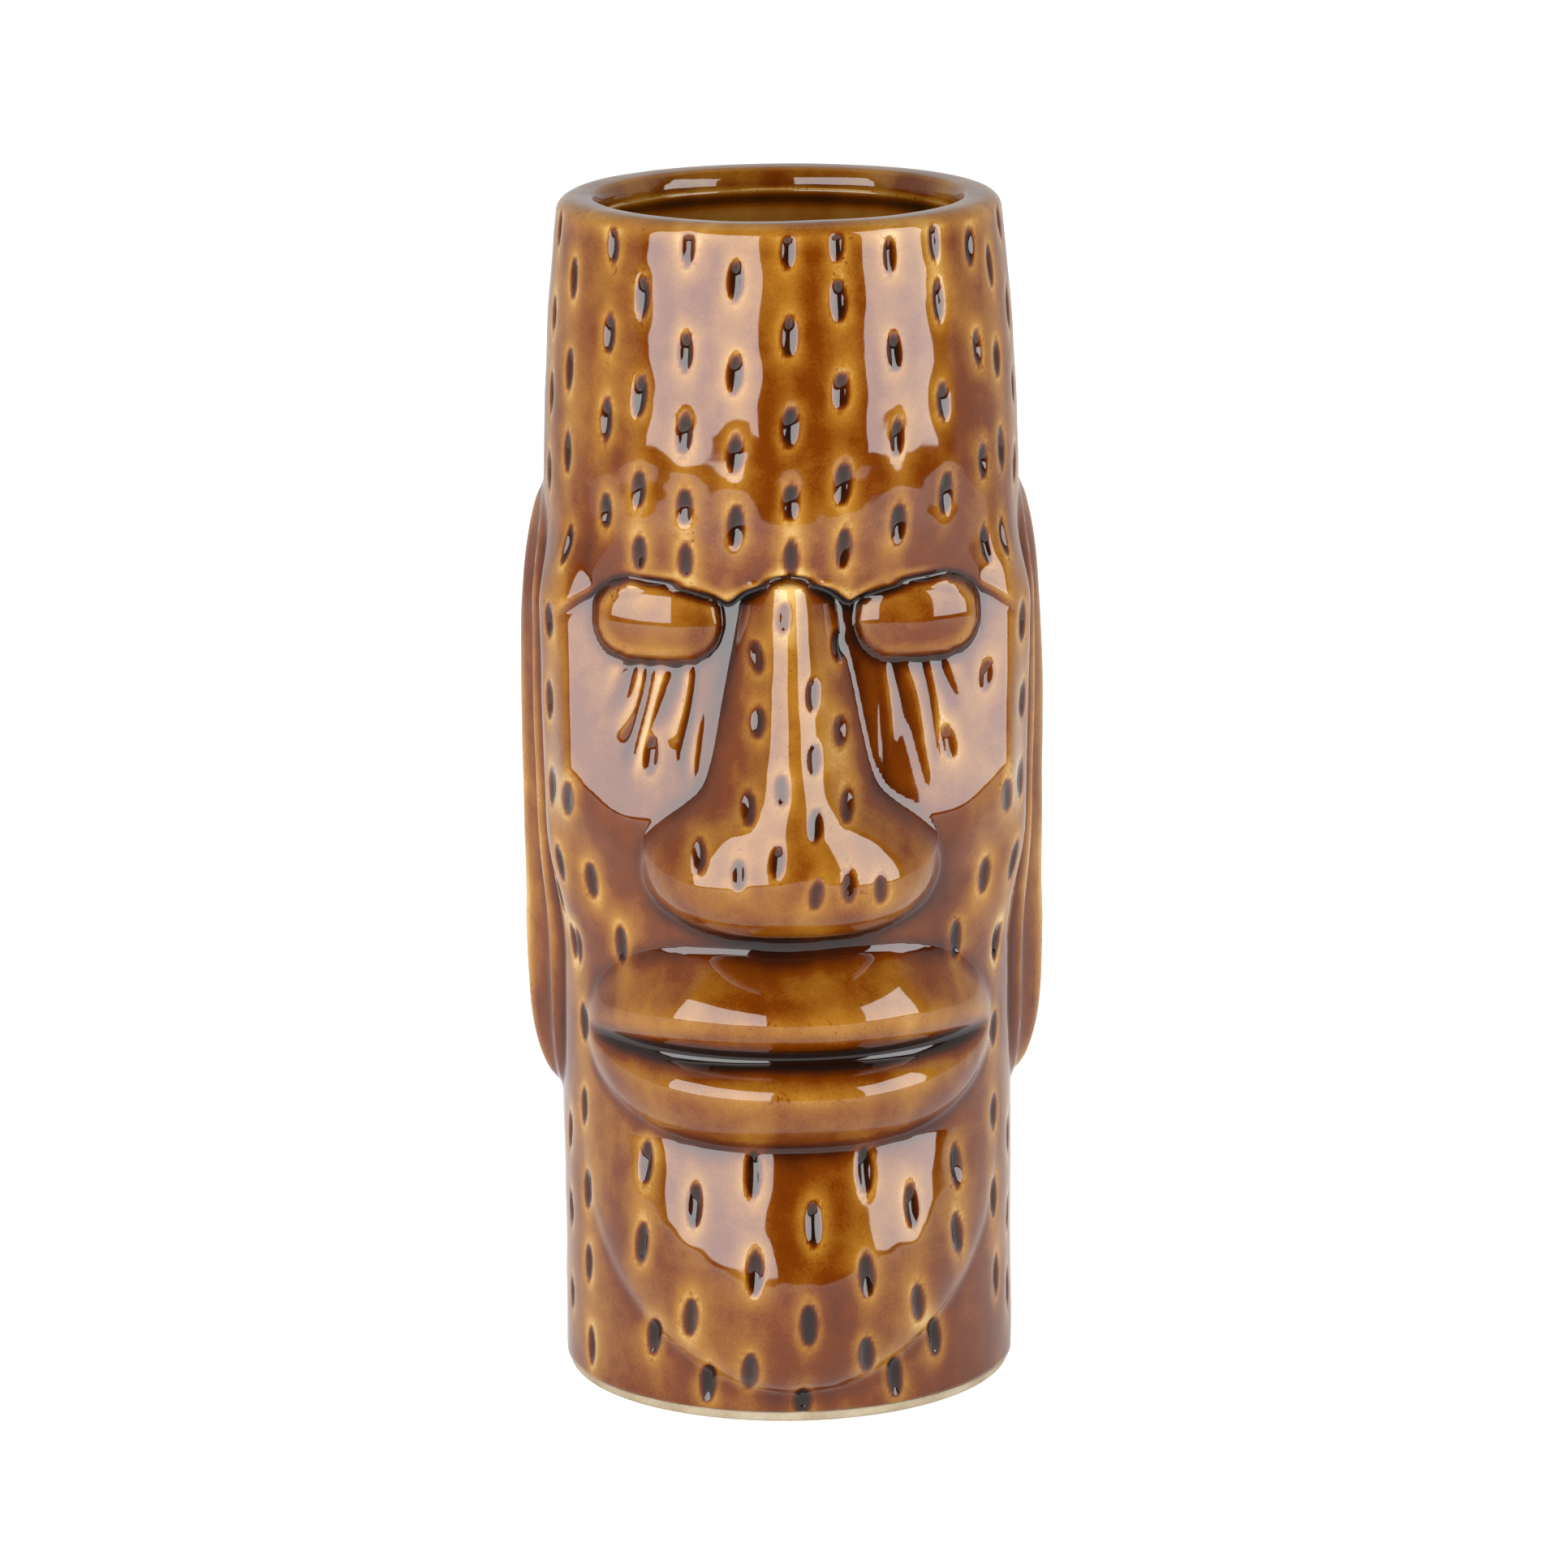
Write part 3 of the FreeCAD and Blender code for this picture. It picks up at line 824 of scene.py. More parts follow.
@dataclass(frozen=True)
class Glaze:
    """A glossy fired glaze.

    Args:
        name: the material's name.
        tones: its colours by thickness.
        cloud: how much its thickness varies by itself.
        speck: how much the finest grain varies it.
        iron: how dark the iron specks are where it has broken thin.
        roughness: how blurred its reflections are.
        bend: how strongly it bends light, which sets how bright they are.
    """

    name: str
    tones: GlazeTones
    cloud: float = 0.30
    speck: float = 0.10
    iron: float = 0.25
    roughness: float = 0.045
    bend: float = 1.45

    def material(self, group: bpy.types.NodeTree) -> bpy.types.Material:
        """Makes the material.

        Args:
            group: the group that varies the coat's thickness.

        Returns:
            The material.
        """
        made, n = new_material(self.name)
        amounts = {"Cloud amount": self.cloud, "Speck amount": self.speck, "Iron amount": self.iron}
        pool = n.add("ShaderNodeAttribute", attribute_name="pool").outputs["Fac"]
        coat = n.add("ShaderNodeGroup", {"Pool": pool, **amounts}, node_tree=group).outputs
        colour = n.ramp(coat["Thickness"], self.tones.stops())
        bump = n.add("ShaderNodeBump", {"Height": coat["Skin"], "Strength": 0.35, "Distance": 0.00012})
        finish = {"Normal": bump.outputs["Normal"], "Roughness": self.roughness, "IOR": self.bend}
        shader = n.add("ShaderNodeBsdfPrincipled", {"Base Color": colour, **finish})
        n.add("ShaderNodeOutputMaterial", {"Surface": shader.outputs[0]})
        return made


@dataclass(frozen=True)
class BareClay:
    """Fired clay with no glaze, slightly stained.

    Args:
        name: the material's name.
        stained: its darkest colour.
        usual: its usual colour.
        clean: its palest colour.
    """

    name: str = "bare_clay"
    stained: Colour = (0.20, 0.145, 0.08)
    usual: Colour = (0.26, 0.21, 0.135)
    clean: Colour = (0.31, 0.26, 0.185)

    def material(self) -> bpy.types.Material:
        """Makes the material.

        Returns:
            The material.
        """
        made, n = new_material(self.name)
        place = n.add("ShaderNodeTexCoord").outputs["Object"]
        patch, grit = n.noise(place, 160.0, 4.0), n.noise(place, 1800.0, 2.0)
        mixed = n.math("ADD", n.math("MULTIPLY", patch, 0.7), n.math("MULTIPLY", grit, 0.3))
        colour = n.ramp(mixed, [(0.3, self.stained), (0.5, self.usual), (0.7, self.clean)])
        bump = n.add("ShaderNodeBump", {"Height": grit, "Strength": 0.5, "Distance": 0.0002})
        rough = n.math("ADD", n.math("MULTIPLY", patch, 0.2), 0.65)
        finish = {"Normal": bump.outputs["Normal"], "Roughness": rough}
        shader = n.add("ShaderNodeBsdfPrincipled", {"Base Color": colour, **finish})
        n.add("ShaderNodeOutputMaterial", {"Surface": shader.outputs[0]})
        return made


def spun(outline: Outline, steps: int, closed: bool) -> bmesh.types.BMesh:
    """Turns an outline round the Z axis.

    Args:
        outline: radius and height of each point, in millimetres.
        steps: how many steps the turn takes.
        closed: whether the outline's last point joins its first.

    Returns:
        The mesh. Its layer "row" says which point of the outline each vertex came from.
    """
    bm = bmesh.new()
    row = bm.verts.layers.int.new("row")
    points = []
    for index, (radius, z) in enumerate(outline):
        vert = bm.verts.new((0.0, -radius * MM, z * MM))
        vert[row] = index
        points.append(vert)
    pairs = list(zip(points, points[1:]))
    if closed:
        pairs.append((points[-1], points[0]))
    edges = [bm.edges.new(pair) for pair in pairs]
    bmesh.ops.spin(
        bm,
        geom=points + edges,
        cent=(0.0, 0.0, 0.0),
        axis=(0.0, 0.0, 1.0),
        angle=math.tau,
        steps=steps,
        use_merge=True,
        use_duplicate=False,
    )
    bmesh.ops.remove_doubles(bm, verts=bm.verts[:], dist=1e-7)
    bmesh.ops.recalc_face_normals(bm, faces=bm.faces[:])
    return bm


def finished(bm: bmesh.types.BMesh, name: str, material: bpy.types.Material) -> bpy.types.Object:
    """Turns a mesh into a piece that rides on the mug.

    Args:
        bm: the mesh, which is freed.
        name: the piece's name.
        material: its material.

    Returns:
        The piece.
    """
    mesh = bpy.data.meshes.new(name)
    bm.to_mesh(mesh)
    bm.free()
    mesh.materials.append(material)
    mesh.polygons.foreach_set("use_smooth", [True] * len(mesh.polygons))
    piece = bpy.data.objects.new(name, mesh)
    bpy.context.scene.collection.objects.link(piece)
    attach(piece, "root")
    return piece


def arc(centre: tuple[float, float], radius: float, start: float, end: float, count: int) -> Outline:
    """Points along an arc in the outline's plane.

    Args:
        centre: radius and height of its middle.
        radius: its own radius.
        start: angle of its first point from the outward direction, in degrees.
        end: angle of its last point.
        count: how many points.

    Returns:
        The points.
    """
    turns = np.radians(np.linspace(start, end, count))
    return [(centre[0] + radius * math.cos(t), centre[1] + radius * math.sin(t)) for t in turns]


@dataclass(frozen=True)
class Gathering:
    """How the amber coat thickens and thins over the carving. A coat's whole range is 1.

    Args:
        plain: thickness on a plain wall.
        crease: how much thicker it is in a narrow crease.
        hollow: how much thicker it is in a wide hollow.
        edge: how much thinner it is along an edge.
        sides: how much thinner, so paler and more ochre, the coat is made on the sides and back than on the
            front: painted light standing in for the brighter light there.
        rim: how much thinner it is on the rim.
        ear: how much thinner it is on an ear.
        ear_crest: how much more than that it is on an ear's rolled edge.
        ripples: how much thinner it is on the ripples under the eyes, for each millimetre.
        raised: how much thinner it is on the lips, the eyes and the nose.
        slit: how much thicker it is between the lips.
        calmed: share of a crease that fills evenly on the cheeks and below the lips.
    """

    plain: float = 0.52
    crease: float = 0.5
    hollow: float = 0.7
    edge: float = 0.7
    sides: float = 0.03
    rim: float = 0.1
    ear: float = 0.04
    ear_crest: float = 0.12
    ripples: float = 0.45
    raised: float = 0.08
    slit: float = 0.5
    calmed: float = 0.6


@dataclass
class OuterGlaze:
    """The glazed outside: the carved face, the ears, the tool marks and the rim, down to the bare foot.

    Args:
        relief: the carved surface.
        tool_marks: the marks pressed in it.
        gathering: how its coat thickens and thins.
        coat: thickness of the coat on the wall.
        glaze_line: height of its lower edge.
        rim_round: radius of the rim's outer edge.
        lip_round: radius of the edge between the rim and the slope into the mouth.
        slope_round: radius of that slope.
        mouth_round: radius of the edge of the mouth.
        bevel_drop: how far the slope drops.
        mouth_radius: radius of the mouth.
        back_radius: radius of the plain back, which is inside the wall.
        columns: faces round the body.
        front_share: share of the columns that are on the front.
        front_half: half the angle of the front, in degrees.
        fine_rows: lowest and highest level of each band of rows, and the step from row to row.
        outer_rows: how many points of the outline show, which outline() counts.
    """

    relief: Relief
    tool_marks: ToolMarks
    gathering: Gathering
    coat: float = 0.4
    glaze_line: float = 1.6
    rim_round: float = 2.4
    lip_round: float = 1.0
    slope_round: float = 6.0
    mouth_round: float = 0.4
    bevel_drop: float = 3.2
    mouth_radius: float = 26.6
    back_radius: float = 29.4
    columns: int = 354
    front_share: float = 0.60
    front_half: float = 82.0
    fine_rows: tuple[tuple[float, float, float], ...] = (
        (1.7, 41.0, 0.85),
        (41.0, 79.0, 0.62),
        (79.0, 113.0, 0.80),
        (113.0, 123.0, 0.60),
        (123.0, 129.5, 0.42),
        (129.5, 177.0, 0.95),
    )
    outer_rows: int = field(default=0, init=False)

    def outline(self) -> Outline:
        """The closed outline of the coat: up the outside, over the rim, and down behind.

        Returns:
            Radius and height of each point.
        """
        relief, height, mouth = self.relief, self.relief.height, self.mouth_radius
        points: Outline = []
        for low, high, step in self.fine_rows:
            for z in np.arange(low, high - 0.3 * step, step):
                points.append((float(relief.wall_radius(np.array(z))) + self.coat, float(z)))
        top = height - self.rim_round
        crest = float(relief.wall_radius(np.array(top))) + self.coat - self.rim_round
        points += arc((crest, top), self.rim_round, 0.0, 88.0, 8)
        inner = mouth + 0.65
        points += [(inner + 1.9, height - 0.03)]
        lip, slope = height - self.lip_round - 0.1, height - self.bevel_drop
        points += arc((inner + self.lip_round, lip), self.lip_round, 88.0, 158.0, 6)
        points += arc((mouth + self.slope_round, slope), self.slope_round, 164.0, 178.0, 6)
        points += arc((mouth + self.mouth_round, slope - 0.1), self.mouth_round, 180.0, 215.0, 3)
        self.outer_rows = len(points)
        points += [(mouth + 0.1, height - 5.0), (self.back_radius, height - 9.0)]
        points += [(self.back_radius, float(z)) for z in np.linspace(height - 20.0, 12.0, 12)]
        points += [(self.back_radius, self.glaze_line + 1.0)]
        points += [(relief.foot_radius - 0.8, self.glaze_line - 0.1)]
        return points

    def spread(self, share: Array) -> Array:
        """Spaces the columns closer on the front than on the back.

        Args:
            share: place of each column round the body, -0.5 to 0.5.

        Returns:
            The angle of each from the front.
        """
        front = math.radians(self.front_half)
        half = 0.5 * self.front_share
        return np.interp(share, [-0.5, -half, half, 0.5], [-math.pi, -front, front, math.pi])

    @staticmethod
    def blurred(field_: Array, round_times: int, up_times: int) -> Array:
        """Softens values that lie on the grid of columns and rows.

        Args:
            field_: the values, columns first.
            round_times: how often to soften round the body.
            up_times: how often to soften up the body.

        Returns:
            The softened values.
        """
        for _ in range(round_times):
            field_ = 0.25 * np.roll(field_, 1, 0) + 0.5 * field_ + 0.25 * np.roll(field_, -1, 0)
        for _ in range(up_times):
            padded = np.pad(field_, [(0, 0), (1, 1)] + [(0, 0)] * (field_.ndim - 2), mode="edge")
            field_ = 0.25 * padded[:, :-2] + 0.5 * field_ + 0.25 * padded[:, 2:]
        return field_

    @staticmethod
    def normals(points: Array) -> Array:
        """Outward normals of points that lie on the grid.

        Args:
            points: the points, columns first.

        Returns:
            A unit vector for each.
        """
        around = np.roll(points, -1, 0) - np.roll(points, 1, 0)
        upward = np.gradient(points, axis=1)
        normal = np.cross(around, upward)
        return normal / np.maximum(np.linalg.norm(normal, axis=-1, keepdims=True), 1e-9)

    def hollowness(self, points: Array) -> Array:
        """How strongly the surface is hollowed, in 1/mm: above 0 in a crease and below 0 on an edge.

        Args:
            points: the points, columns first.

        Returns:
            A value for each.
        """
        normal = self.normals(points)
        around = [np.roll(grid, -1, 0) - np.roll(grid, 1, 0) for grid in (points, normal)]
        upward = [np.gradient(grid, axis=1) for grid in (points, normal)]
        total = np.zeros(points.shape[:2])
        for step, turn in (around, upward):
            total -= (step * turn).sum(-1) / np.maximum((step * step).sum(-1), 0.04)
        return np.clip(total, -2.0, 2.0)

    def press(self, s: Array, z: Array) -> tuple[Array, Array]:
        """Works out every tool mark at each place.

        Args:
            s: distance round the body.
            z: height.

        Returns:
            How far the surface sinks, and how much the glaze has gathered there.
        """
        sink, gathered = np.zeros_like(s), np.zeros_like(s)
        whole = math.tau * self.tool_marks.radius
        for cut in self.tool_marks.marks():
            beside = np.mod(s - cut.s + 0.5 * whole, whole) - 0.5 * whole
            near = np.abs(beside) < self.tool_marks.reach + 0.3 * cut.half_length
            near &= np.abs(z - cut.z) < self.tool_marks.reach + cut.half_length
            away, ends, share = cut.apart(cut.s + beside[near], z[near])
            sink[near] += cut.sink(away, share)
            gathered[near] += cut.gathered(away, ends)
        return sink, gathered

    def carved(self, angle: Array, radius: Array, z: Array) -> Array:
        """The carved surface, softened a little, and plain again at the rim.

        Args:
            angle: angle round the body from the front.
            radius: radius of the plain wall there.
            z: height.

        Returns:
            The points, columns first.
        """
        points = self.blurred(self.relief.carve(angle, radius, z), 1, 1)
        plain = np.stack([radius * np.sin(angle), -radius * np.cos(angle), z], -1)
        keep = smooth((z - self.relief.height + 6.0) / 3.0)[..., None]
        return points * (1 - keep) + plain * keep

    def thickness(self, points: Array, bare: Array, angle: Array, radius: Array, z: Array) -> Array:
        """Works out how thick the coat lies, apart from the tool marks.

        Args:
            points: the finished points, columns first.
            bare: how strongly the carving is hollowed at each.
            angle: angle round the body from the front.
            radius: radius of the plain wall there.
            z: height.

        Returns:
            The thickness at each point.
        """
        relief, share = self.relief, self.gathering
        x, y, front = points[..., 0], points[..., 1], np.cos(angle) > 0.3
        crease = self.blurred(np.clip(bare, -0.9, 1.4), 3, 2)
        wide = self.blurred(np.clip(bare, -0.5, 1.0), 14, 7)
        rim = smooth((z - relief.height + 4.5) / 3.0)
        cheeks = smooth((z - 79.0) / 4.0) * (1.0 - smooth((z - 111.0) / 4.0))
        calm = cheeks + 1.0 - smooth((z - 47.0) / 3.0)
        crease = crease * (1.0 - share.calmed * calm * (crease > 0))
        edge = np.clip(crease + 0.1, -0.5, 0.0)
        pool = share.plain + share.crease * np.maximum(crease, 0.0) + share.hollow * np.maximum(wide, 0.0)
        pool += share.edge * edge * (1.0 - 0.6 * rim)
        # painted light: the coat is thinned on the sides and back, which makes them paler and more ochre,
        # standing in for the brighter light on the sides
        pool -= share.sides * smooth((np.abs(angle) - 0.35) / 0.75)
        pool -= share.rim * rim * smooth((radius - 28.6) / 1.0)
        lobe = np.clip(relief.ear(y, z) / relief.ear_reach, 0.0, 1.0) * (np.abs(np.sin(angle)) > 0.5)
        pool -= share.ear * lobe + share.ear_crest * smooth((lobe - 0.6) / 0.3)
        pool -= share.ripples * relief.drapery(x, z) * front
        raised = relief.lips(x, z) / 7.0 + np.clip(relief.eye(x, z), 0.0, 4.0) / 4.0
        raised += np.clip(relief.nose(x, z), 0.0, 4.0) / 9.0
        pool -= share.raised * np.minimum(raised, 1.0) * front
        mouth = np.clip(1.0 - np.abs(x / relief.mouth_half) ** relief.mouth_power, 0.0, 1.0)
        slit = np.exp(-(((z - relief.mouth_level) / 1.3) ** 2))
        return pool + share.slit * mouth * slit * front

    def carve(self, mesh: bpy.types.Mesh) -> None:
        """Moves the turned wall's vertices to the carved surface and stores how thick the coat lies.

        Args:
            mesh: the turned mesh, with its "row" layer.
        """
        co = places(mesh)
        count = len(co)
        row = np.empty(count, dtype=np.int32)
        mesh.attributes["row"].data.foreach_get("value", row)
        share = np.arctan2(co[:, 0], -co[:, 1]) / math.tau
        column = np.rint((share + 0.5) * self.columns).astype(int) % self.columns
        order = np.full((self.columns, int(row.max()) + 1), -1)
        order[column, row] = np.arange(count)
        grid = order[:, : self.outer_rows]
        shares = (np.arange(self.columns) / self.columns) - 0.5
        angle = self.spread(shares)[:, None] + np.zeros((1, self.outer_rows))
        radius, z = np.hypot(co[grid, 0], co[grid, 1]), co[grid, 2]
        points = self.carved(angle, radius, z)
        bare = self.hollowness(points)
        s = angle * self.tool_marks.radius
        sink, gathered = self.press(s, z)
        below_rim = (1.0 - smooth((z - self.relief.height + 2.2) / 1.2)) * smooth((radius - 30.5) / 1.0)
        wobble = 0.07 * ripple(s, z, 30.0, 5) + 0.012 * ripple(s, z, 9.0, 6)
        wobble *= smooth((math.pi - np.abs(angle)) / 0.5)
        normal = self.normals(self.blurred(points, 3, 2))
        points = points + normal * (wobble - sink * below_rim)[..., None]
        back = ~np.isin(np.arange(count), grid.ravel())
        turned, away = self.spread(share[back]), np.hypot(co[back, 0], co[back, 1])
        co[back, 0], co[back, 1] = away * np.sin(turned), -away * np.cos(turned)
        co[grid.ravel()] = points.reshape(-1, 3)
        mesh.vertices.foreach_set("co", (co * MM).ravel())
        pool = np.full(count, 0.5)
        pool[grid.ravel()] = (self.thickness(points, bare, angle, radius, z) + gathered * below_rim).ravel()
        store_pool(mesh, pool)
        mesh.update()

    def build(self, material: bpy.types.Material) -> bpy.types.Object:
        """Makes the piece.

        Args:
            material: its glaze.

        Returns:
            The piece.
        """
        piece = finished(spun(self.outline(), self.columns, True), "glazed_outside", material)
        self.carve(piece.data)
        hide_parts("outer_glaze")
        return piece


@dataclass
class ClayCore:
    """The clay as far as it shows: the bare band and ring of the foot, and the wall behind the glaze.

    Args:
        foot_radius: radius at the foot's bare band.
        recess_radius: radius of the recess inside the foot ring.
        recess_depth: how deep the recess is.
        glaze_line: height where the bare band ends.
        inside: radius of the core's inner side, behind the liner.
        outside: radius of its outer side, behind the outer glaze.
        top: height of its upper edge.
        floor: height of the floor's upper side, under the liner.
        round: radius between the floor and the wall.
    """

    foot_radius: float = 33.7
    recess_radius: float = 28.5
    recess_depth: float = 2.0
    glaze_line: float = 1.6
    inside: float = 28.4
    outside: float = 29.3
    top: float = 168.0
    floor: float = 6.0
    round: float = 6.0

    def build(self, material: bpy.types.Material) -> bpy.types.Object:
        """Makes the piece.

        Args:
            material: bare clay.

        Returns:
            The piece.
        """
        foot, line, recess, depth = self.foot_radius, self.glaze_line, self.recess_radius, self.recess_depth
        outline = [(0.0, depth), (recess - 0.6, depth)]
        outline += arc((recess - 0.6, depth - 0.6), 0.6, 90.0, 0.0, 4)[1:]
        outline += arc((recess + 0.5, 0.5), 0.5, 180.0, 270.0, 4)
        outline += arc((foot - 1.3, 1.3), 1.3, 270.0, 360.0, 7)
        outline += [(foot + 0.05, line), (foot - 0.2, line + 0.25), (self.outside, line + 0.8)]
        start = self.floor + self.round
        outline += [(self.outside, self.top), (self.inside, self.top), (self.inside, start)]
        outline += arc((self.inside - self.round, start), self.round, 0.0, -90.0, 6)[1:]
        outline += [(0.0, self.floor)]
        bm = spun(outline, 192, False)
        piece = finished(bm, "clay_core", material)
        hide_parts("clay_body")
        return piece


@dataclass
class LinerGlaze:
    """The coat poured inside, from the mouth's edge down under the lip to the rounded floor.

    Args:
        mouth_radius: radius of the mouth.
        mouth_level: height of its edge.
        cavity_radius: radius of the cavity below the neck.
        lip_level: height where the cavity starts to widen under the lip.
        neck_level: height where it stops.
        floor: height of the floor.
        fillet: radius between the floor and the wall.
        coat: thickness of the coat.
    """

    mouth_radius: float = 26.6
    mouth_level: float = 176.8
    cavity_radius: float = 28.0
    lip_level: float = 172.0
    neck_level: float = 158.0
    floor: float = 6.4
    fillet: float = 7.6
    coat: float = 0.4

    def outline(self, grown: float) -> Outline:
        """The inside's outline from the mouth to the middle of the floor.

        Args:
            grown: how far it lies behind the glaze's surface.

        Returns:
            Radius and height of each point.
        """
        mouth, wall = self.mouth_radius + grown, self.cavity_radius + grown
        points = [(mouth, float(z)) for z in np.linspace(self.mouth_level, self.lip_level + 0.4, 10)]
        for share in np.linspace(0.0, 1.0, 14):
            z = self.lip_level + (self.neck_level - self.lip_level) * share
            points.append((mouth + (wall - mouth) * float(smooth(np.array(share))), z))
        points += [(wall, float(z)) for z in np.linspace(150.0, self.floor + self.fillet + 4.0, 24)]
        middle = (self.cavity_radius - self.fillet, self.floor + self.fillet)
        points += arc(middle, self.fillet + grown, 0.0, -90.0, 10)
        points += [(r, self.floor - grown) for r in (16.0, 10.0, 5.0, 0.0)]
        return points

    def build(self, material: bpy.types.Material) -> bpy.types.Object:
        """Makes the piece.

        Args:
            material: its glaze.

        Returns:
            The piece.
        """
        outline = self.outline(0.0) + self.outline(self.coat)[::-1]
        piece = finished(spun(outline, 160, True), "glazed_inside", material)
        self.pool(piece.data)
        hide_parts("liner_glaze")
        return piece

    def pool(self, mesh: bpy.types.Mesh) -> None:
        """Stores how thick the coat lies: thin at the mouth's edge, thick on the floor, and made thick in a
        band under the lip as painted shade from the overhanging lip.

        Args:
            mesh: the piece's mesh.
        """
        x, y, z = places(mesh).T
        edge = np.exp(-(((z - self.mouth_level) / 0.35) ** 2))
        # painted shade: the coat is made thicker, so darker, in a band just under the mouth's edge, standing
        # in for the shadow under the overhanging lip
        under = np.exp(-(((z - self.mouth_level + 1.6) / 1.0) ** 2))
        floor = 1.0 - smooth((z - self.floor) / 9.0)
        turn = np.arctan2(x, -y)
        streak = ripple(self.cavity_radius * turn, 0.25 * z, 14.0, 9)
        streak *= smooth((math.pi - np.abs(turn)) / 0.4)
        store_pool(mesh, 0.36 - 0.9 * edge + 0.5 * under + 0.3 * floor + 0.05 * streak)


@dataclass
class BaseGlaze:
    """The glaze inside the foot ring, a little thicker where it meets the clay.

    Args:
        radius: its radius.
        level: height of its underside.
        top: how far its upper side, in the clay, lies above that.
    """

    radius: float = 28.4
    level: float = 1.6
    top: float = 0.35

    def build(self, material: bpy.types.Material) -> bpy.types.Object:
        """Makes the piece.

        Args:
            material: its glaze.

        Returns:
            The piece.
        """
        level, top = self.level, self.level + self.top
        outline = [(0.0, level), (12.0, level), (22.0, level), (26.0, level - 0.02), (27.4, level - 0.12)]
        outline += [(self.radius, level - 0.45), (self.radius, top), (0.0, top)]
        piece = finished(spun(outline, 128, False), "glazed_underside", material)
        x, y, _ = places(piece.data).T
        away = np.hypot(x, y)
        store_pool(piece.data, 0.45 + 0.25 * smooth((away - 22.0) / 5.0) - 0.5 * smooth((away - 27.6) / 0.8))
        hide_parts("base_glaze")
        return piece


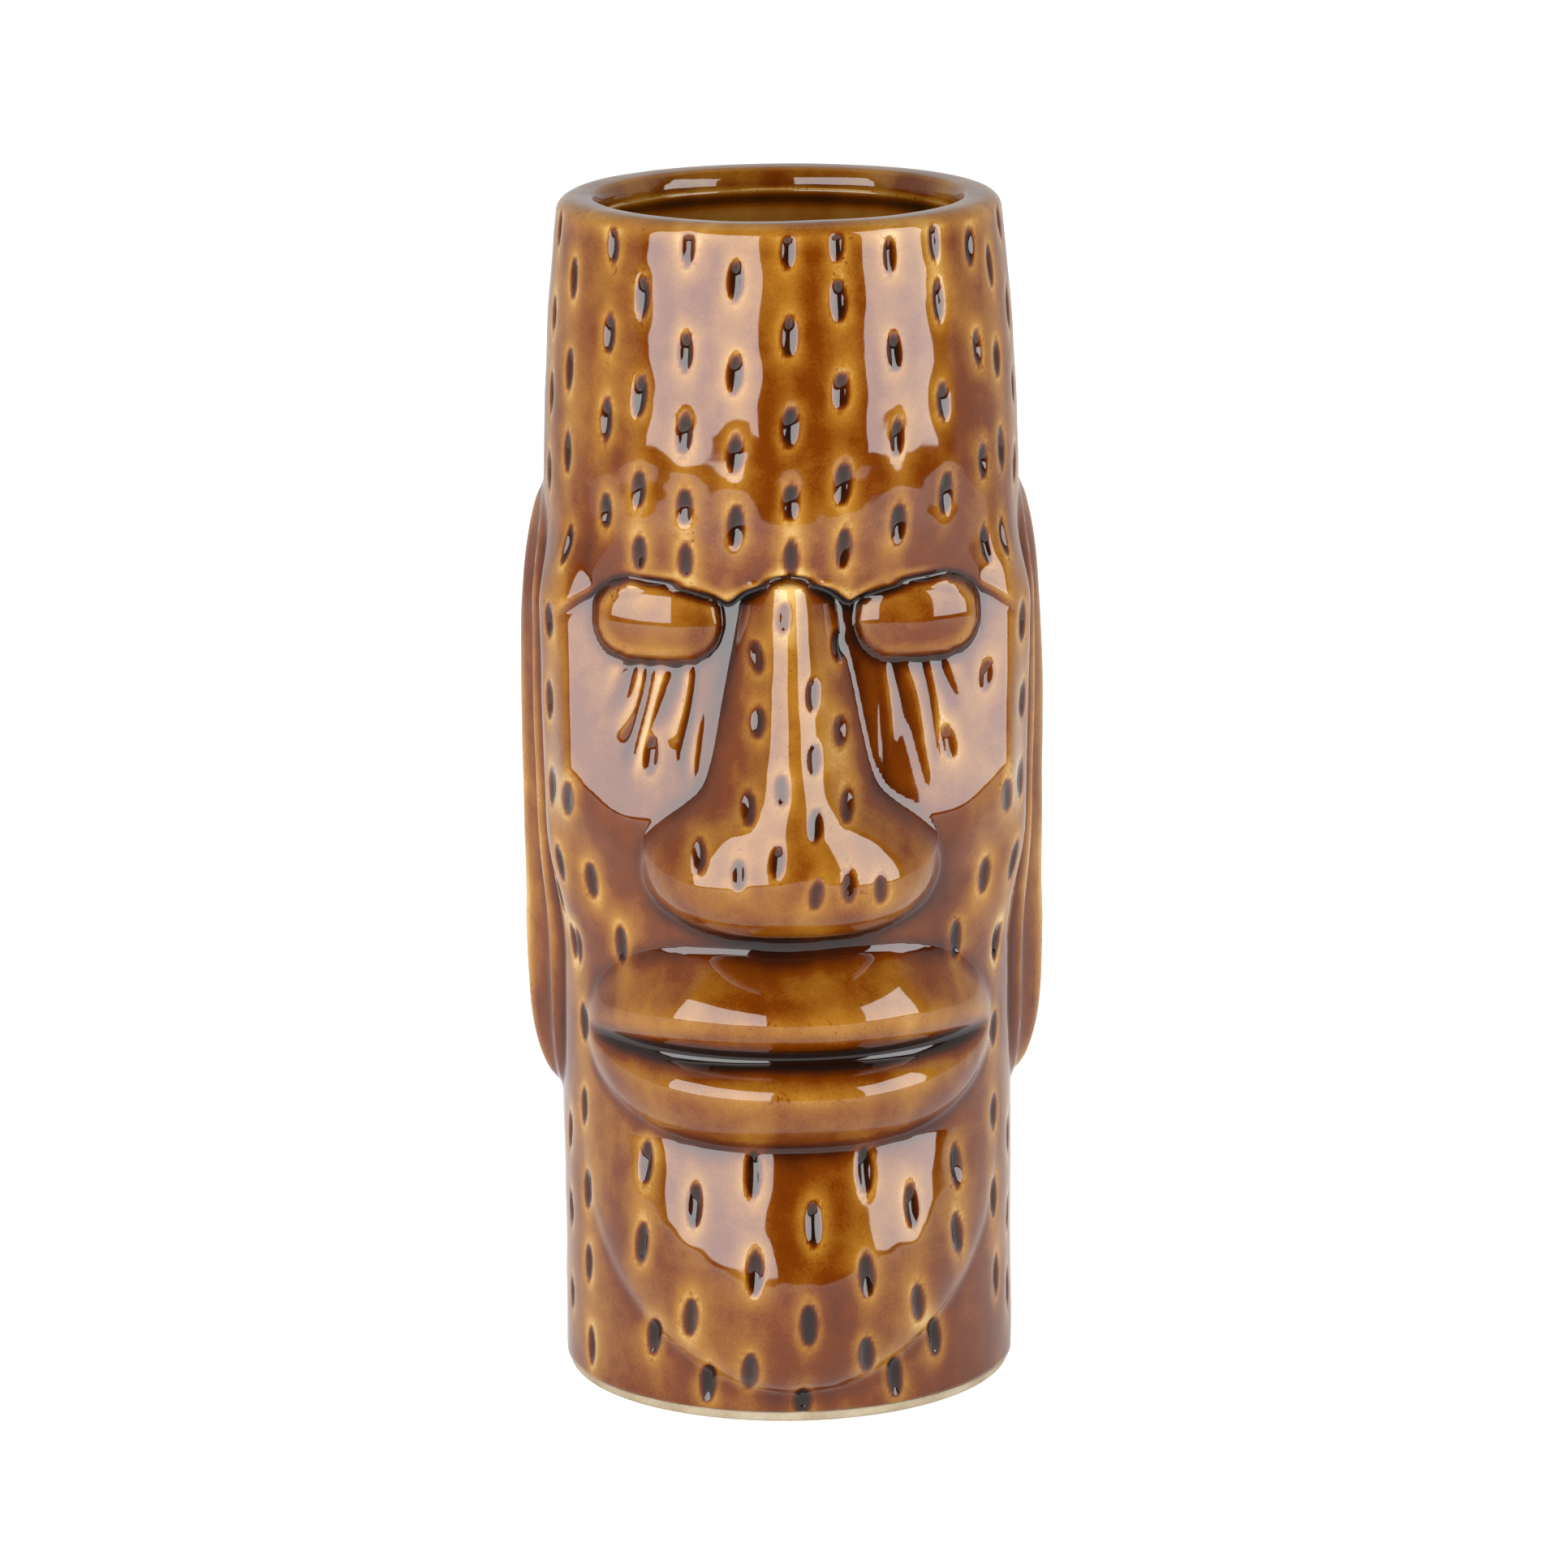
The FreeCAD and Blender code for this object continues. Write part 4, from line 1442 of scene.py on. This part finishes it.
@dataclass
class Studio:
    """The pale floor, the two tall softboxes, the dim front of the room, and the camera.

    Args:
        softboxes: name of each, its angle round the mug from the front, and its width as seen from the mug.
        distance: how far the softboxes stand from the mug.
        low_edge: height of their lower edges.
        high_edge: height of their upper edges.
        radiance: how bright they are.
        tint: their colour.
        pale: how bright the room is behind the mug and at its sides.
        dim: how bright it is in front.
        dim_middle: angle of the middle of the dim part, in degrees.
        backdrop: how bright the room is to the camera.
        floor_half: half the side of the floor.
        table_radius: radius of the table top.
        table_lift: how far the table top lies above the floor.
        lens: the camera's focal length, in millimetres.
        sensor: width of its sensor, in millimetres.
        camera_away: how far it stands from the mug's axis.
        camera_height: how high it is.
        camera_turn: its angle round the mug from the front, in degrees.
        camera_dip: how far below level it looks, in degrees.
        camera_roll: how far it is turned about its own axis, in degrees.
    """

    softboxes: tuple[tuple[str, float, float], ...] = (
        ("left_softbox", -41.0, 57.0),
        ("right_softbox", 59.0, 38.0),
    )
    distance: float = 1.05
    low_edge: float = 0.02
    high_edge: float = 0.93
    radiance: float = 8.3
    tint: Colour = (0.965, 0.985, 1.0)
    pale: float = 0.66
    dim: float = 0.04
    dim_middle: float = 6.5
    backdrop: float = 1.1
    floor_half: float = 6.0
    table_radius: float = 0.78
    table_lift: float = 0.0002
    lens: float = 158.05
    sensor: float = 36.0
    camera_away: float = 1.012
    camera_height: float = 0.32687
    camera_turn: float = -1.7
    camera_dip: float = 13.17
    camera_roll: float = -0.54

    def sheet(self, name: str, white: float, glow: float) -> bpy.types.Material:
        """Makes plain white paper.

        Args:
            name: the material's name.
            white: how white it is.
            glow: how much light comes through it.

        Returns:
            The material.
        """
        made = bpy.data.materials.new(name)
        made.use_nodes = True
        shader = made.node_tree.nodes["Principled BSDF"]
        shader.inputs["Base Color"].default_value = (white, white, white, 1.0)
        shader.inputs["Roughness"].default_value = 0.8
        shader.inputs["Specular IOR Level"].default_value = 0.1
        shader.inputs["Emission Color"].default_value = (1.0, 1.0, 1.0, 1.0)
        shader.inputs["Emission Strength"].default_value = glow
        return made

    def laid(self, bm: bmesh.types.BMesh, name: str, paper: bpy.types.Material) -> bpy.types.Object:
        """Lays a sheet down as part of the stage.

        Args:
            bm: the sheet's mesh, which is freed.
            name: its name.
            paper: its material.

        Returns:
            The sheet.
        """
        mesh = bpy.data.meshes.new(name)
        bm.to_mesh(mesh)
        bm.free()
        mesh.materials.append(paper)
        thing = bpy.data.objects.new(name, mesh)
        bpy.context.scene.collection.objects.link(thing)
        return thing

    def floor(self) -> None:
        """Lays the floor, and the smaller table top that the glaze mirrors."""
        bm = bmesh.new()
        bmesh.ops.create_grid(bm, x_segments=1, y_segments=1, size=self.floor_half)
        floor = self.laid(bm, "floor", self.sheet("floor_white", 0.9, 0.62))
        floor.visible_glossy = False
        bm = bmesh.new()
        bmesh.ops.create_circle(bm, cap_ends=True, segments=96, radius=self.table_radius)
        table = self.laid(bm, "table_top", self.sheet("table_white", 0.95, 0.0))
        table.location.z = self.table_lift
        table.visible_camera = table.visible_diffuse = table.visible_shadow = False

    def room(self) -> None:
        """Lights the room: pale behind and at the sides, dim in front."""
        world = bpy.data.worlds.new("studio")
        bpy.context.scene.world = world
        world.use_nodes = True
        world.node_tree.nodes.clear()
        n = Nodes(world.node_tree)
        way = n.add("ShaderNodeSeparateXYZ", {0: n.add("ShaderNodeTexCoord").outputs["Generated"]}).outputs
        turn = math.radians(self.dim_middle)
        across = n.math("MULTIPLY", way["X"], math.sin(turn))
        ahead = n.math("SUBTRACT", across, n.math("MULTIPLY", way["Y"], math.cos(turn)))
        edge = {"Value": ahead, "From Min": 0.08, "From Max": 0.22}
        front = n.add("ShaderNodeMapRange", edge, interpolation_type="SMOOTHSTEP").outputs["Result"]
        levels = {"Value": front, "To Min": self.pale, "To Max": self.dim}
        level = n.add("ShaderNodeMapRange", levels).outputs["Result"]
        seen = n.add("ShaderNodeLightPath").outputs["Is Camera Ray"]
        strength = n.math("MAXIMUM", level, n.math("MULTIPLY", seen, self.backdrop))
        glow = n.add("ShaderNodeBackground", {"Color": (1.0, 0.99, 0.98, 1.0), "Strength": strength})
        n.add("ShaderNodeOutputWorld", {"Surface": glow.outputs[0]})

    def lamps(self) -> None:
        """Stands the softboxes round the front, each facing the mug."""
        for name, azimuth, wide in self.softboxes:
            turn = math.radians(azimuth)
            way = Vector((math.sin(turn), -math.cos(turn), 0.0))
            light = bpy.data.lights.new(name, "AREA")
            light.shape = "RECTANGLE"
            light.size = 2 * self.distance * math.tan(math.radians(wide / 2))
            light.size_y = self.high_edge - self.low_edge
            light.energy = self.radiance * math.pi * light.size * light.size_y
            light.color = self.tint
            lamp = bpy.data.objects.new(name, light)
            lamp.location = way * self.distance + Vector((0.0, 0.0, 0.5 * (self.high_edge + self.low_edge)))
            lamp.rotation_euler = way.to_track_quat("Z", "Y").to_euler()
            lamp.visible_camera = False
            bpy.context.scene.collection.objects.link(lamp)

    def camera(self) -> None:
        """Places the camera in front of the mug, above its rim, looking slightly down at the face."""
        data = bpy.data.cameras.new("camera")
        data.lens, data.sensor_width = self.lens, self.sensor
        data.dof.use_dof = False
        camera = bpy.data.objects.new("camera", data)
        turn, away = math.radians(self.camera_turn), self.camera_away
        camera.location = (away * math.sin(turn), -away * math.cos(turn), self.camera_height)
        pitch = Matrix.Rotation(math.radians(90.0 - self.camera_dip), 4, "X")
        roll = Matrix.Rotation(math.radians(self.camera_roll), 4, "Z")
        camera.rotation_euler = (Matrix.Rotation(turn, 4, "Z") @ pitch @ roll).to_euler()
        bpy.context.scene.collection.objects.link(camera)
        bpy.context.scene.camera = camera

    def build(self) -> None:
        """Sets up everything round the mug."""
        self.camera()
        self.floor()
        self.room()
        self.lamps()
        bpy.context.scene.view_settings.view_transform = "Standard"


def main() -> None:
    """Builds the mug and the studio."""
    logging.basicConfig(level=logging.INFO, format="%(name)s: %(message)s")
    Studio().build()
    clouds = cloud_group()
    amber = Glaze("amber_glaze", AMBER_TONES).material(clouds)
    honey = Glaze("honey_glaze", HONEY_TONES, cloud=0.25, roughness=0.06).material(clouds)
    pieces = [
        OuterGlaze(Relief(), ToolMarks(), Gathering()).build(amber),
        ClayCore().build(BareClay().material()),
        LinerGlaze().build(honey),
        BaseGlaze().build(honey),
    ]
    for piece in pieces:
        LOG.info("%s: %d faces", piece.name, len(piece.data.polygons))


if __name__ == "__main__":
    main()
